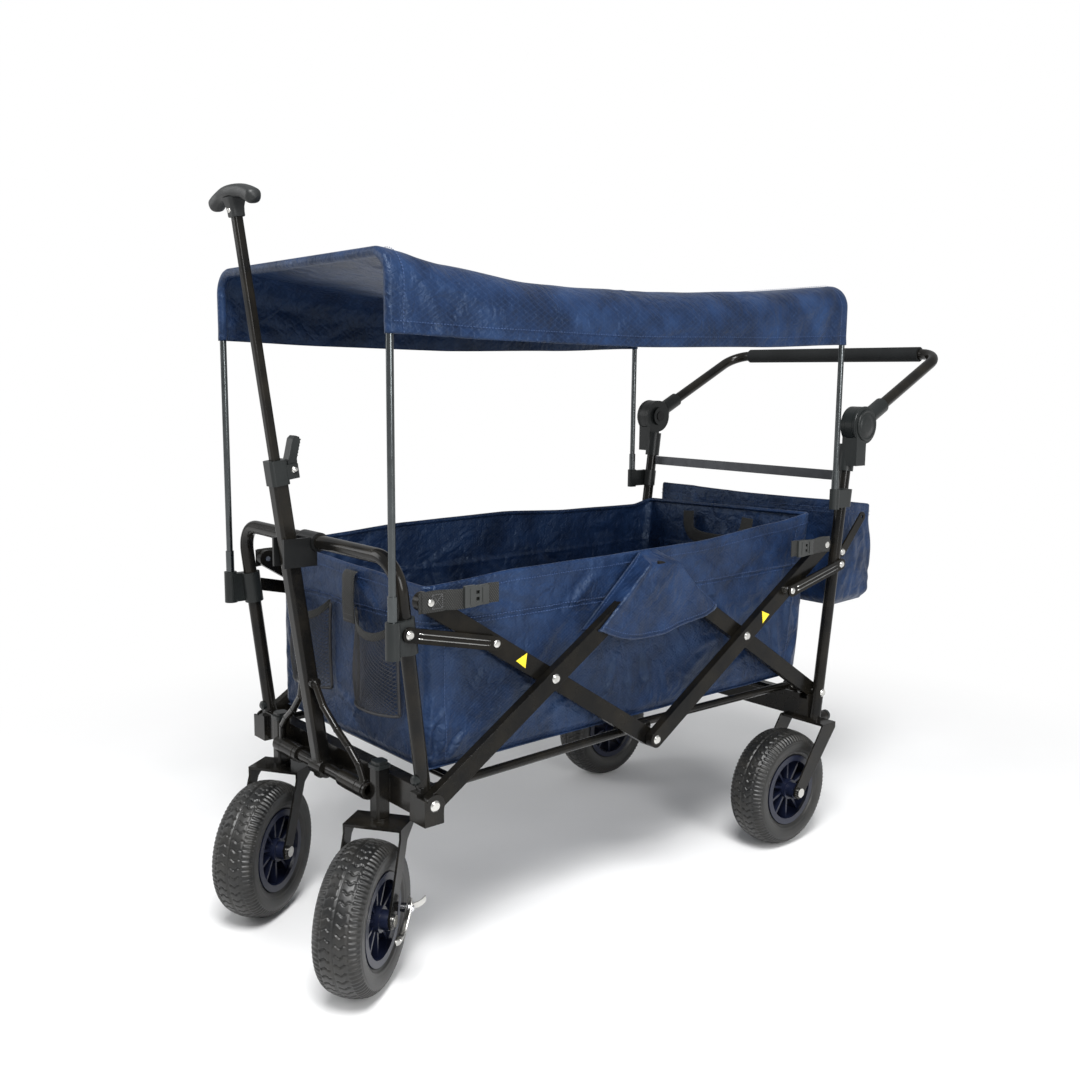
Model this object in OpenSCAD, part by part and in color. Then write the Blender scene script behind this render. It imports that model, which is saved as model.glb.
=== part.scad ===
// Folding four-wheel pull wagon with canopy, rear push handle, rear basket,
// swivelling front casters and a telescoping pull handle.
// X is the width, the pull handle is toward -Y, Z is up, the floor is Z = 0.

/* [Folding frame] */
// Distance between front and rear scissor pivots
wheelbase_pivots = 835; // [700:5:900]
// Height of the lower scissor pivots above the floor
pivot_low = 256; // [250:1:258]
// Height of the upper scissor pivots above the floor
pivot_high = 521; // [515:1:523]
// Width of the flat scissor tubes
bar_w = 26; // [20:1:28]
// Bore radius of the scissor pivots
pin_bore_r = 4.05; // [4.03:0.01:4.1]
// Radius of the frame tubes
tube_r = 10; // [8:0.5:10]

/* [Wheels] */
// Outer radius of the tyres
wheel_r = 100.4; // [90:0.2:100.4]
// Half width of the tyres
wheel_hw = 33.5; // [28:0.5:34]
// Distance from swivel axis to front wheel axle
trail = 59.7; // [50:0.1:60]
// Resting swivel angle of the right caster
yaw_right = 35.2; // [0:0.1:40]
// Resting swivel angle of the left caster
yaw_left = 32.6; // [0:0.1:40]
// Number of spokes in each rim
spokes = 10; // [5:1:12]

/* [Tub] */
// Half width of the fabric tub
tub_hw = 203; // [180:1:203]
// Height of the tub floor above the ground
tub_z = 284; // [282:1:290]
// Fabric wall thickness
tub_t = 3; // [2:0.5:4]

/* [Handles] */
// Forward lean of the pull handle
handle_lean = 8; // [5:0.5:10]
// Outer width of the lower pull handle tube
handle_w = 22; // [20:1:24]
// Length of the push handle from hub to grip
push_len = 288; // [240:1:300]
// Angle of the push handle above level
push_angle = 26.3; // [20:0.1:30]

/* [Canopy] */
// Height of the canopy bows
bow_z = 953; // [900:1:960]
// Depth of the canopy side valances
valance = 100; // [60:1:110]
// Radius of the canopy rods
rod_r = 4.8; // [4:0.1:5]

/* [Hidden] */
$fn = 48;
// shift that centres the whole wagon over the origin
shift_y = -84.7;
a = wheelbase_pivots / 2;
zl = pivot_low;
zh = pivot_high;
zm = (zl + zh) / 2;
xi0 = 209.5; xi1 = 222.5;   // inner bar plane
xo0 = 224;   xo1 = 237;     // outer bar plane
half_arm = norm([a / 2, (zh - zl) / 2]);
bar_ang = atan2((zh - zl), a);
// link pivots: on the end frames and on the bars
lf = [449, 484.7];
ls = [a / 2 + 121 * cos(bar_ang), zm + 121 * sin(bar_ang)];
lean_f = 0.122;   // forward slope of the front legs
lean_r = 0.1247;  // rearward slope of the rear legs
leg_xf = 213.5;
leg_xr = 233.5;
function fy(z) = -419 - lean_f * (z - 281);
function ry(z) = a + lean_r * (z - zl);
// caster swivel axes
kx = 139.3; ky = -438;
fork_top = 212;
// rear axle
rx = 222.3; rear_y = 326.7;
// pull handle pivot
hy = -447; hz = 250;
// push handle hub
hub_y = 481; hub_z = 728;
// canopy poles
fpx = 228; fpy = -472; rpx = 246; rpy = 421;
rail_y = 395; rail_z = 262; rail_tip_z = 268;

STEEL = [0.06, 0.06, 0.065];
BAR = [0.10, 0.10, 0.10];
PLAST = [0.16, 0.17, 0.18];
CHROME = [0.78, 0.78, 0.8];
NAVY = [0.13, 0.20, 0.36];
RUBBER = [0.10, 0.10, 0.10];
RIM = [0.10, 0.12, 0.22];

module sym() { children(); mirror([1, 0, 0]) children(); }
// cylinder between two points
module rod(p, q, r) {
  v = q - p; l = norm(v);
  translate(p) rotate([0, acos(v[2] / l), atan2(v[1], v[0])]) cylinder(h = l, r = r);
}
// 2D outline in the Y-Z plane, extruded from x0 to x1
module yz(x0, x1) { translate([x0, 0, 0]) rotate([90, 0, 90]) linear_extrude(height = x1 - x0) children(); }
// flat strap between two Y-Z points with round ends
module strip2(p, q, w, e = 0) {
  v = q - p; l = norm(v);
  translate(p) circle(d = w);
  translate(q) circle(d = w);
  translate(p) rotate(atan2(v[1], v[0])) translate([0, e - w / 2]) square([l, w - 2 * e]);
}
module flat(p, q, w, x0, x1, r) {
  yz(x0, x1) difference() {
    strip2(p, q, w, 0.2);
    translate(p) circle(r = r);
    translate(q) circle(r = r);
  }
}
// pin along X, with heads outside both ends
module pin(y, z, x0, x1, r, hr, hh) {
  translate([x0, y, z]) rotate([0, 90, 0]) cylinder(h = x1 - x0, r = r);
  translate([x1, y, z]) rotate([0, 90, 0]) cylinder(h = hh, r1 = hr, r2 = hr * 0.7);
}
module pin2(y, z, x0, x1, r, hr, hh) {
  pin(y, z, x0, x1, r, hr, hh);
  translate([x0 - hh, y, z]) rotate([0, 90, 0]) cylinder(h = hh, r1 = hr * 0.7, r2 = hr);
}
module rrect(w, d, r) {
  union() {
    square([w - 2 * r, d], center = true);
    square([w, d - 2 * r], center = true);
    for (i = [-1, 1], j = [-1, 1]) translate([i * (w / 2 - r), j * (d / 2 - r)]) circle(r = r);
  }
}
module xcyl(x0, x1, y, z, r) { translate([x0, y, z]) rotate([0, 90, 0]) cylinder(h = x1 - x0, r = r); }
// bow of round rod: legs at x = +-w, top at height h, corner radius c
module bow(w, h, c, r, z0) {
  sym() translate([w, 0, z0]) cylinder(h = h - c - z0, r = r);
  sym() translate([w - c, 0, h - c]) rotate([90, 0, 0]) rotate_extrude(angle = 90) translate([c, 0]) circle(r = r);
  translate([-(w - c), 0, h]) rotate([0, 90, 0]) cylinder(h = 2 * (w - c), r = r);
}

// ---------------------------------------------------------------- front frame
module front_hoop() {
  al = atan(lean_f);
  h = (578 - 262) / cos(al);
  translate([0, fy(262), 262]) rotate([al, 0, 0]) bow(leg_xf, h, 45, tube_r, 0);
}
module front_frame() {
  color(STEEL) difference() {
    union() {
      front_hoop();
      translate([-222, -428, 236]) cube([444, 22, 40]);
      sym() {
        // end bracket around the lower scissor pivot
        translate([205, -434, 230]) cube([17, 6.5, 40]);
        translate([205, -434, 230]) cube([35.5, 3, 36]);
        translate([205, -434, 230]) cube([35.5, 30, 3]);
        yz(237.5, 240.5) union() {
          translate([-434, 230]) square([30, 26]);
          translate([-a, zl]) circle(r = 15);
        }
        // caster housing
        translate([kx, ky, 216]) linear_extrude(height = 69) rrect(21, 21, 4);
        translate([kx - 10, ky, 240]) cube([20, 14, 30]);
        // saddle for the handle pivot tube
        translate([60, hy, 242]) cube([10, 22, 16]);
        xcyl(60, 70, hy, hz, 12.5);
        // tab for the floor rail pivot
        yz(206.4, 209) union() {
          translate([-408, 253]) square([13, 17]);
          translate([-rail_y, rail_z]) circle(r = 8.5);
        }
      }
    }
    sym() {
      xcyl(200, 242, -a, zl, pin_bore_r);
      translate([kx, ky, 205]) cylinder(h = 68, r = 6.05);
      xcyl(205, 211, -rail_y, rail_z, 3.05);
    }
    xcyl(-80, 80, hy, hz, 9.02);
  }
}
module front_caps() {
  color(PLAST) sym() {
    translate([kx, ky, 285]) linear_extrude(height = 5) rrect(24, 24, 5);
    translate([kx, ky, 290]) linear_extrude(height = 5) rrect(19, 19, 5);
    difference() {
      union() {
        translate([leg_xf, -424, 286]) rotate([90, 0, 0]) cylinder(h = 9, r = 7);
        translate([leg_xf, -433, 286]) rotate([90, 0, 0]) cylinder(h = 2.5, r1 = 7, r2 = 4);
      }
      rod([leg_xf, fy(250), 250], [leg_xf, fy(330), 330], tube_r + 0.05);
      translate([190, -430, 230]) cube([50, 30, 46]);
    }
  }
}
module front_sockets() {
  color(PLAST) sym() difference() {
    union() {
      rod([leg_xf, fy(457), 457], [leg_xf, fy(503), 503], 14);
      translate([fpx, fpy, 456]) cylinder(h = 48, r = 9.5);
      translate([leg_xf + 2, fpy, 458]) cube([13.2, 26, 44]);
      xcyl(leg_xf, 228.6, -lf[0], lf[1], 9.5);
    }
    rod([leg_xf, fy(430), 430], [leg_xf, fy(530), 530], tube_r + 0.04);
    translate([fpx, fpy, 461]) cylinder(h = 60, r = 5.05);
    xcyl(leg_xf + tube_r, 235, -lf[0], lf[1], 3.02);
  }
}
module handle_clip() {
  al = atan(lean_f);
  color(PLAST) difference() {
    union() {
      xcyl(-22, 22, fy(578), 578, 13.2);
      translate([-17, fy(578) - 52, 545]) cube([4.4, 50, 40]);
      translate([12.6, fy(578) - 52, 545]) cube([4.4, 50, 40]);
      translate([-17, fy(578) - 15, 545]) cube([34, 8, 40]);
    }
    xcyl(-30, 30, fy(578), 578, tube_r + 0.04);
  }
}
module handle_pivot_tube() {
  color(STEEL) difference() {
    xcyl(-127.5, 127.5, hy, hz, 9);
    xcyl(-130, 130, hy, hz, 7.2);
  }
  color(PLAST) sym() difference() {
    union() {
      xcyl(70.2, 106, hy, hz, 13);
      xcyl(124, 128.6, hy, hz, 12);
    }
    xcyl(60, 130, hy, hz, 9);
  }
}
module front_frame_pins() {
  color(CHROME) sym() {
    pin(-a, zl, 203, 240.5, 4, 7.5, 2.2);
    pin(-lf[0], lf[1], leg_xf + tube_r + 0.5, 232.8, 3, 6, 2);
    xcyl(192.3, 209, -rail_y, rail_z, 3);
    xcyl(190.8, 192.3, -rail_y, rail_z, 5.5);
  }
}
// ---------------------------------------------------------------- links and bars
module front_links() {
  color(BAR) sym() flat([-lf[0], lf[1]], [-ls[0], ls[1]], 20, 229, 232.6, 3.05);
}
module rear_links() {
  color(BAR) sym() flat([lf[0], lf[1]], [ls[0], ls[1]], 20, 245, 248.6, 3.05);
}
module bar(p, q, x0, x1) {
  color(BAR) difference() {
    yz(x0, x1) strip2(p, q, bar_w);
    xcyl(x0 - 1, x1 + 1, p[0], p[1], pin_bore_r);
    xcyl(x0 - 1, x1 + 1, q[0], q[1], pin_bore_r);
    xcyl(x0 - 1, x1 + 1, (p[0] + q[0]) / 2, (p[1] + q[1]) / 2, pin_bore_r);
    children();
  }
}
module front_outer_bars() { sym() bar([-a, zl], [0, zh], xo0, xo1); }
module front_outer_pins() {
  color(CHROME) sym() {
    pin2(-a / 2, zm, xi0, xo1, 4, 7, 2.2);
    pin2(0, zh, xi0, xo1, 4, 7, 2.2);
  }
}
module front_inner_bars() { sym() bar([-a, zh], [0, zl], xi0, xi1) xcyl(200, 230, -ls[0], ls[1], 3.02); }
module front_inner_pins() {
  color(CHROME) sym() {
    pin2(0, zl, xi0, xo1, 3.9, 7, 2.2);
    xcyl(xi0, 228.9, -ls[0], ls[1], 3);
    xcyl(xi0 - 2, xi0, -ls[0], ls[1], 6);
    xcyl(222.6, 228.9, -ls[0], ls[1], 6.5);
    pin(-a, zh, xi0, 223.9, 3.9, 7, 1.6);
  }
}
module rear_inner_bars() { sym() bar([a, zl], [0, zh], xi0, xi1); }
module rear_inner_pins() { color(CHROME) sym() pin2(a / 2, zm, xi0, xo1, 4, 7, 2.2); }
module rear_outer_bars() { sym() bar([a, zh], [0, zl], xo0, xo1) xcyl(200, 240, ls[0], ls[1], 3.02); }
module rear_outer_pins() {
  color(CHROME) sym() {
    xcyl(xo0, 244.9, ls[0], ls[1], 3);
    xcyl(xo0 - 1.4, xo0, ls[0], ls[1], 6);
    xcyl(237.1, 244.9, ls[0], ls[1], 6.5);
    pin(a, zh, xo0, 238.3, 3.9, 7, 1.2);
  }
}
module strap(x, y0, y1, z) { translate([x, y0, z - 15]) cube([1.2, y1 - y0, 30]); }
// webbing straps looped over the upper scissor pivots, with their buckles
module side_straps() {
  color(RUBBER) sym() {
    difference() { strap(222.6, -a - 13, -302, zh); xcyl(220, 226, -a, zh, 3.95); }
    difference() { strap(237.05, 318, a + 8, zh); xcyl(235, 240, a, zh, 3.95); }
  }
}
module strap_buckles() {
  color(PLAST) sym() {
    translate([223.85, -358, zh - 16]) cube([7, 34, 32]);
    translate([238.3, 336, zh - 16]) cube([6, 34, 32]);
  }
}
module rail(s, x) {
  difference() {
    union() {
      rod([x, s * rail_y, rail_z], [x, s * -12, rail_tip_z], 6.5);
      translate([x, s * rail_y, rail_z]) rotate([0, 90, 0]) translate([0, 0, -6.5]) cylinder(h = 13, r = 8);
      translate([x, s * -12, rail_tip_z]) rotate([90, 0, 0]) translate([0, 0, -5]) cylinder(h = 10, r = 7);
    }
    xcyl(x - 8, x + 8, s * rail_y, rail_z, 3.05);
  }
}
module front_rails() {
  color(STEEL) union() {
    sym() rail(-1, 199);
    rod([-199, -352, 262.7], [199, -352, 262.7], 6);
  }
}
module rear_rails() {
  color(STEEL) union() {
    sym() rail(1, 185);
    rod([-185, 352, 262.7], [185, 352, 262.7], 6);
  }
}
// ---------------------------------------------------------------- rear frame
module rear_frame() {
  color(STEEL) difference() {
    union() {
      sym() {
        rod([leg_xr, ry(204), 204], [leg_xr, ry(690), 690], tube_r);
        translate([leg_xr, ry(208) - 2, 208]) rotate([-90, 0, 0]) cylinder(h = 30, r = 9);
        // fork for the rear wheel
        translate([rx - 46.2, 390, 204]) cube([92.4, 34, 4.2]);
        for (s = [-1, 1]) difference() {
          yz(rx + s * 44.7 - 1.5, rx + s * 44.7 + 1.5) polygon([[388, 208], [424, 208], [424, 198],
            [rear_y + 11, 93], [rear_y - 2, 88], [rear_y - 12, 96], [rear_y - 10, 108]]);
          xcyl(rx - 60, rx + 60, rear_y, wheel_r, 4.03);
        }
        // tabs: rail pivot and basket arm
        yz(191.6, 194.2) union() {
          translate([rail_y, 253]) square([12, 17]);
          translate([rail_y, rail_z]) circle(r = 8.5);
        }
        yz(229, 232) polygon([[440, 488], [470, 492], [480, 503], [472, 514], [440, 520]]);
      }
      translate([-226, 400, 208]) cube([452, 20, 42]);
      sym() translate([191.6, 400, 245]) cube([2.6, 12, 12]);
    }
    sym() {
      xcyl(220, 246, a, zl, 4.02);
      xcyl(220, 246, lf[0], lf[1], 3.02);
      xcyl(186, 200, rail_y, rail_z, 3.05);
      xcyl(226, 240, 470, 503, 3.02);
      // clearance round the inner bar's lower end
      translate([206.8, 399, 242.6]) cube([16, 22, 10]);
    }
  }
}
module rear_caps() {
  color(PLAST) sym() {
    translate([leg_xr, ry(208) + 28, 208]) rotate([-90, 0, 0]) cylinder(h = 5, r = 9.6);
    translate([leg_xr, ry(208) + 33, 208]) rotate([-90, 0, 0]) cylinder(h = 4, r1 = 9.6, r2 = 6);
  }
}
module rear_sockets() {
  color(PLAST) sym() difference() {
    union() {
      translate([rpx, rpy, 584]) cylinder(h = 35, r = 8.6);
      translate([239, rpy, 586]) cube([13, 38, 31]);
      rod([leg_xr + 3, ry(586), 586], [leg_xr + 3, ry(617), 617], 14);
    }
    rod([leg_xr, ry(560), 560], [leg_xr, ry(640), 640], tube_r + 0.04);
    translate([rpx, rpy, 588]) cylinder(h = 60, r = 5.05);
    // keep the bar plane free in front of the leg
    translate([215, 400, 560]) cube([25.2, 44, 80]);
  }
}
module rear_cross_strap() {
  color([0.3, 0.3, 0.32]) translate([-223.4, 464, 630]) cube([446.8, 3, 17]);
}
module rear_frame_pins() {
  color(CHROME) sym() {
    pin2(a, zl, xi0, leg_xr + tube_r, 3.98, 7, 2.2);
    pin(lf[0], lf[1], leg_xr - tube_r, 248.8, 3, 6, 2);
    xcyl(178.2, 194.2, rail_y, rail_z, 3);
    xcyl(176.7, 178.2, rail_y, rail_z, 5.5);
    pin(470, 503, 228, 235.4, 3, 6, 2);
  }
}
module axle(x0, x1) {
  xcyl(x0, x1, 0, 0, 4);
  xcyl(x0 - 5, x0, 0, 0, 7);
  xcyl(x1, x1 + 4, 0, 0, 8);
}
module rear_axles() {
  color(CHROME) sym() translate([rx, rear_y, wheel_r]) axle(-46.3, 46.3);
}
// wheel axis along X, centre at the origin
module tyre_ring() {
  color(RUBBER) rotate([0, 90, 0]) rotate_extrude() polygon([
    [57.2, -25.4], [61.6, -26.4], [66, -30], [74, -wheel_hw + 0.8], [84, -wheel_hw], [91, -wheel_hw + 2],
    [96.5, -wheel_hw + 7], [99.4, -wheel_hw + 14], [wheel_r, -10], [wheel_r, 10], [99.4, wheel_hw - 14],
    [96.5, wheel_hw - 7], [91, wheel_hw - 2], [84, wheel_hw], [74, wheel_hw - 0.8], [66, 30],
    [61.6, 26.4], [57.2, 25.4]]);
}
module rim_disc() {
  color(RIM) rotate([0, 90, 0]) difference() {
    union() {
      rotate_extrude() polygon([[51, -29], [60.8, -29], [60.8, -26.6], [57, -25.5], [57, 25.5], [60.8, 26.6], [60.8, 29], [51, 29], [54, 22], [54, -22]]);
      translate([0, 0, -40]) cylinder(h = 80, r = 13);
      translate([0, 0, -27]) cylinder(h = 54, r = 17);
      for (i = [0:spokes - 1]) rotate(i * 360 / spokes) translate([10, -2, -20]) cube([43, 4, 40]);
    }
    translate([0, 0, -50]) cylinder(h = 100, r = 4.06);
  }
}
module rear_wheel(s) { translate([s * rx, rear_y, wheel_r]) children(); }
module rear_tyre_right() { rear_wheel(1) tyre_ring(); }
module rear_rim_right() { rear_wheel(1) rim_disc(); }
module rear_tyre_left() { rear_wheel(-1) tyre_ring(); }
module rear_rim_left() { rear_wheel(-1) rim_disc(); }
// ---------------------------------------------------------------- basket
module basket_arms() {
  color(STEEL) sym() flat([470, 503], [526, 562], 17, 232.2, 235.2, 3.05);
}
module rear_basket() {
  color(NAVY) difference() {
    yz(-222, 222) polygon([[470, 399], [586, 399], [598, 412], [592, 500], [586, 576], [471, 588]]);
    yz(-218.5, 218.5) polygon([[473.5, 403], [585, 403], [594, 414], [588.5, 500], [582.5, 600], [474.5, 600]]);
  }
  color(CHROME) sym() pin(526, 562, 222, 235.4, 3, 6, 2);
}
// ---------------------------------------------------------------- push handle
// fixed half of each hub: a clevis of two discs on the leg's end sleeve
module hub_shells() {
  color(PLAST) sym() difference() {
    union() {
      xcyl(254.2, 262, hub_y, hub_z, 32);
      xcyl(262, 264, hub_y, hub_z, 27);
      xcyl(232, 239.8, hub_y, hub_z, 32);
      xcyl(226, 232, hub_y, hub_z, 18);
      rod([leg_xr, ry(648), 648], [leg_xr, ry(694), 694], 14);
      translate([232, ry(680) - 14, 658]) cube([30, 28, 52]);
    }
    rod([leg_xr, ry(630), 630], [leg_xr, ry(690), 690], tube_r + 0.04);
    xcyl(240, 254, hub_y, hub_z, 33);
    xcyl(236, 263, hub_y, hub_z, 6.05);
    xcyl(224, 236, hub_y, hub_z, 10.05);
  }
}
// moving half of each hub: a disc on a stud, with a socket for the handle arm
module push_hubs() {
  color(PLAST) sym() difference() {
    union() {
      xcyl(240.2, 253.8, hub_y, hub_z, 32);
      xcyl(236.4, 261, hub_y, hub_z, 6);
      translate([247, hub_y, hub_z]) rotate([push_angle, 0, 0]) {
        translate([0, 34, 0]) rotate([-90, 0, 0]) cylinder(h = 42, r = 14);
        translate([-6.8, 10, -14]) cube([13.6, 30, 28]);
      }
    }
    translate([247, hub_y, hub_z]) rotate([push_angle, 0, 0]) translate([0, 36, 0]) rotate([-90, 0, 0]) cylinder(h = 60, r = tube_r + 0.04);
  }
}
module push_tube() {
  color(STEEL) translate([0, hub_y, hub_z]) rotate([push_angle, 0, 0]) rotate([-90, 0, 0]) bow(247, push_len, 42, tube_r, 36.5);
}
module push_grip() {
  color(RUBBER) translate([0, hub_y + push_len * cos(push_angle), hub_z + push_len * sin(push_angle)]) difference() {
    xcyl(-203, 203, 0, 0, 14);
    xcyl(-204, 204, 0, 0, tube_r + 0.02);
  }
}
module release_button() {
  color([0.35, 0.36, 0.38]) xcyl(224.5, 231.8, hub_y, hub_z, 9.9);
}
module release_button_right() { release_button(); }
module release_button_left() { mirror([1, 0, 0]) release_button(); }
// ---------------------------------------------------------------- casters
// local frame: X along the axle, -Y toward the wheel, origin on the swivel axis at floor level
module caster_at(s) { translate([s * kx, ky, 0]) rotate([0, 0, s > 0 ? yaw_right : yaw_left]) children(); }
module caster_fork() {
  color(STEEL) difference() {
    union() {
      translate([-41.7, -29, fork_top - 4]) cube([83.4, 50, 4]);
      translate([0, 0, fork_top - 4]) cylinder(h = 64, r = 6);
      translate([0, 0, fork_top]) cylinder(h = 3.5, r = 13);
      for (s = [-1, 1]) yz(s * 40.2 - 1.5, s * 40.2 + 1.5) polygon([[21, fork_top], [-29, fork_top], [-29, fork_top - 14],
        [-trail - 11, wheel_r + 6], [-trail - 9, wheel_r - 9], [-trail + 2, wheel_r - 13], [-trail + 11, wheel_r - 3], [-6, fork_top - 22], [21, fork_top - 6]]);
    }
    xcyl(-50, 50, -trail, wheel_r, 4.03);
    xcyl(-50, 50, -32, wheel_r + 6, 2.5);
  }
}
module caster_fork_right() { caster_at(1) caster_fork(); }
module caster_fork_left() { caster_at(-1) caster_fork(); }
module front_axle() { color(CHROME) translate([0, -trail, wheel_r]) axle(-41.8, 41.8); }
module front_axle_right() { caster_at(1) front_axle(); }
module front_axle_left() { caster_at(-1) front_axle(); }
module narrow_rim() { intersection() { rim_disc(); color(RIM) xcyl(-38.2, 38.2, 0, 0, 70); } }
module front_tyre_right() { caster_at(1) translate([0, -trail, wheel_r]) tyre_ring(); }
module front_rim_right() { caster_at(1) translate([0, -trail, wheel_r]) narrow_rim(); }
module front_tyre_left() { caster_at(-1) translate([0, -trail, wheel_r]) tyre_ring(); }
module front_rim_left() { caster_at(-1) translate([0, -trail, wheel_r]) narrow_rim(); }
// foot brake on the outer arm: pivot pin, lever with a tail and a folded pedal
module brake() {
  color(CHROME) union() {
    xcyl(42.3, 52, -32, wheel_r + 6, 5.5);
    yz(48, 50.5) union() {
      strip2([-32, wheel_r + 6], [-4, wheel_r - 10], 15);
      strip2([-32, wheel_r + 6], [-14, wheel_r + 2], 15);
    }
    translate([48, -12, wheel_r - 18]) cube([20, 16, 2.6]);
    translate([48, 0, wheel_r - 18]) cube([20, 2.6, 12]);
  }
}
module brake_right() { caster_at(1) brake(); }
module brake_left() { caster_at(-1) mirror([1, 0, 0]) brake(); }
// ---------------------------------------------------------------- pull handle
module hframe() { translate([0, hy, hz]) rotate([handle_lean, 0, 0]) children(); }
module handle_tube() {
  color(STEEL) hframe() difference() {
    union() {
      translate([0, 0, -13]) linear_extrude(height = 443) rrect(handle_w, handle_w, 5);
      xcyl(-16, 16, 0, 0, 14);
    }
    translate([0, 0, 26]) linear_extrude(height = 420) rrect(handle_w - 4.6, handle_w - 4.6, 3.5);
    xcyl(-20, 20, 0, 0, 9.06);
  }
}
module seg(p, q, r) { rod(p, q, r); translate(q) sphere(r = r + 0.5); }
module handle_arch() {
  w = handle_w / 2;
  color(STEEL) hframe() sym() difference() {
    union() {
      xcyl(w + 0.05, w + 9, 0, 130, 8);
      translate([w + 7, 0, 130]) sphere(r = 5.8);
      seg([w + 7, 0, 130], [32, 0, 100], 5);
      seg([32, 0, 100], [62, 0, 72], 5);
      seg([62, 0, 72], [90, 0, 52], 5);
      seg([90, 0, 52], [108, 0, 34], 5);
      seg([108, 0, 34], [115, 0, 12], 5);
      xcyl(107, 123, 0, 0, 13);
    }
    xcyl(100, 130, 0, 0, 9.06);
  }
}
module handle_collar() {
  color(PLAST) hframe() difference() {
    union() {
      translate([0, 0, 412]) linear_extrude(height = 34) rrect(26, 26, 5);
      for (s = [-1, 1]) translate([s * 10.5 - 2, 8, 418]) cube([4, 19, 20]);
    }
    translate([0, 0, 400]) linear_extrude(height = 30.04) rrect(handle_w + 0.06, handle_w + 0.06, 5);
    translate([0, 0, 400]) linear_extrude(height = 60) rrect(13.4, 13.4, 3);
    xcyl(-20, 20, 21, 430, 2.52);
  }
}
module handle_slider() {
  color(STEEL) hframe() translate([0, 0, 352]) linear_extrude(height = 420) rrect(12.6, 12.6, 3);
}
// drooping T grip: five straight rounded rods on a 133 mm arc
module handle_grip() {
  rg = 133;
  function gp(t) = [rg * sin(t), 0, 792.5 - rg + rg * cos(t)];
  color(PLAST) hframe() difference() {
    union() {
      for (i = [-2:2]) rod(gp(9.4 * i - 4.7), gp(9.4 * i + 4.7), 9.8);
      for (i = [-3:2]) translate(gp(9.4 * i + 4.7)) sphere(r = 10.2);
      translate([0, 0, 764]) linear_extrude(height = 28) rrect(18, 18, 6);
    }
    translate([0, 0, 700]) linear_extrude(height = 72.04) rrect(12.64, 12.64, 3);
  }
}
module cam_lever() {
  color(PLAST) hframe() difference() {
    union() {
      xcyl(-8.2, 8.2, 21, 430, 7);
      yz(-8.2, 8.2) polygon([[14.6, 433], [17, 426], [27, 426], [28.2, 434], [29, 444], [37.5, 466], [37, 472], [32, 474.5], [27, 471], [19, 450], [14.6, 440]]);
    }
    xcyl(-20, 20, 21, 430, 2.55);
  }
  color(CHROME) hframe() xcyl(-12.5, 12.5, 21, 430, 2.5);
}
// ---------------------------------------------------------------- soft goods
module tub_fabric() {
  color(NAVY) difference() {
    yz(-tub_hw, tub_hw) polygon([[-405, tub_z], [402, tub_z], [427, 566], [260, 548], [-150, 540], [-407, 532]]);
    yz(-tub_hw + tub_t, tub_hw - tub_t) polygon([[-402, tub_z + tub_t], [399, tub_z + tub_t], [424, 567], [424, 600], [-404, 600], [-404, 532]]);
  }
}
module pocket(x) {
  translate([x, -406.6, 348]) difference() {
    scale([1, 1, 1]) intersection() {
      translate([0, 22, 0]) cylinder(h = 118, r = 58);
      translate([-60, -60, 0]) cube([120, 60, 118]);
    }
    translate([0, 22, 3]) cylinder(h = 130, r = 55.5);
  }
}
module front_pockets() {
  color([0.1, 0.1, 0.1]) { pocket(90); pocket(-90); }
}
module side_flaps() {
  color(NAVY) sym() union() {
    yz(240.4, 242.4) polygon([[-160, 456], [-100, 436], [-30, 425], [80, 438], [150, 438], [60, 520], [40, 541], [-34, 541]]);
    translate([tub_hw + 0.1, -34, 538]) cube([39.3, 74, 3]);
  }
}
module canopy_profile(w, z0, z1, y) {
  translate([-w, y, z0]) cube([2 * w, 1, z1 - z0 - 30]);
  translate([-w + 30, y, z1 - 30]) rotate([-90, 0, 0]) cylinder(h = 1, r = 30);
  translate([w - 30, y, z1 - 30]) rotate([-90, 0, 0]) cylinder(h = 1, r = 30);
}
module canopy_fabric() {
  color(NAVY) difference() {
    hull() {
      canopy_profile(fpx + 9.5, bow_z - valance + 6, bow_z + 9, fpy - 9);
      canopy_profile(rpx + 9.5, bow_z - valance + 10, bow_z + 12, rpy + 8);
    }
    hull() {
      canopy_profile(fpx + 5.8, 600, bow_z + 5.6, fpy - 10);
      canopy_profile(rpx + 5.8, 600, bow_z + 8.6, rpy + 10);
    }
  }
}
module sleeve(x, y, z) { translate([x, y, z]) cylinder(h = 32, r = 6.2); }
module front_bow() {
  color(CHROME) translate([0, fpy, 0]) union() {
    bow(fpx, bow_z, 34, rod_r, 461);
    sym() sleeve(fpx, 0, 504.2);
  }
}
module rear_bow() {
  color(CHROME) translate([0, rpy, 0]) union() {
    bow(rpx, bow_z + 3, 34, rod_r, 588.5);
    sym() sleeve(rpx, 0, 619.2);
  }
}

// ---------------------------------------------------------------- assembly
translate([0, shift_y, 0]) front_frame();
translate([0, shift_y, 0]) front_caps();
translate([0, shift_y, 0]) front_sockets();
translate([0, shift_y, 0]) handle_clip();
translate([0, shift_y, 0]) handle_pivot_tube();
translate([0, shift_y, 0]) front_frame_pins();
translate([0, shift_y, 0]) front_links();
translate([0, shift_y, 0]) front_outer_bars();
translate([0, shift_y, 0]) front_outer_pins();
translate([0, shift_y, 0]) front_inner_bars();
translate([0, shift_y, 0]) front_inner_pins();
translate([0, shift_y, 0]) rear_inner_bars();
translate([0, shift_y, 0]) rear_inner_pins();
translate([0, shift_y, 0]) rear_outer_bars();
translate([0, shift_y, 0]) rear_outer_pins();
translate([0, shift_y, 0]) rear_links();
translate([0, shift_y, 0]) front_rails();
translate([0, shift_y, 0]) rear_rails();
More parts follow.
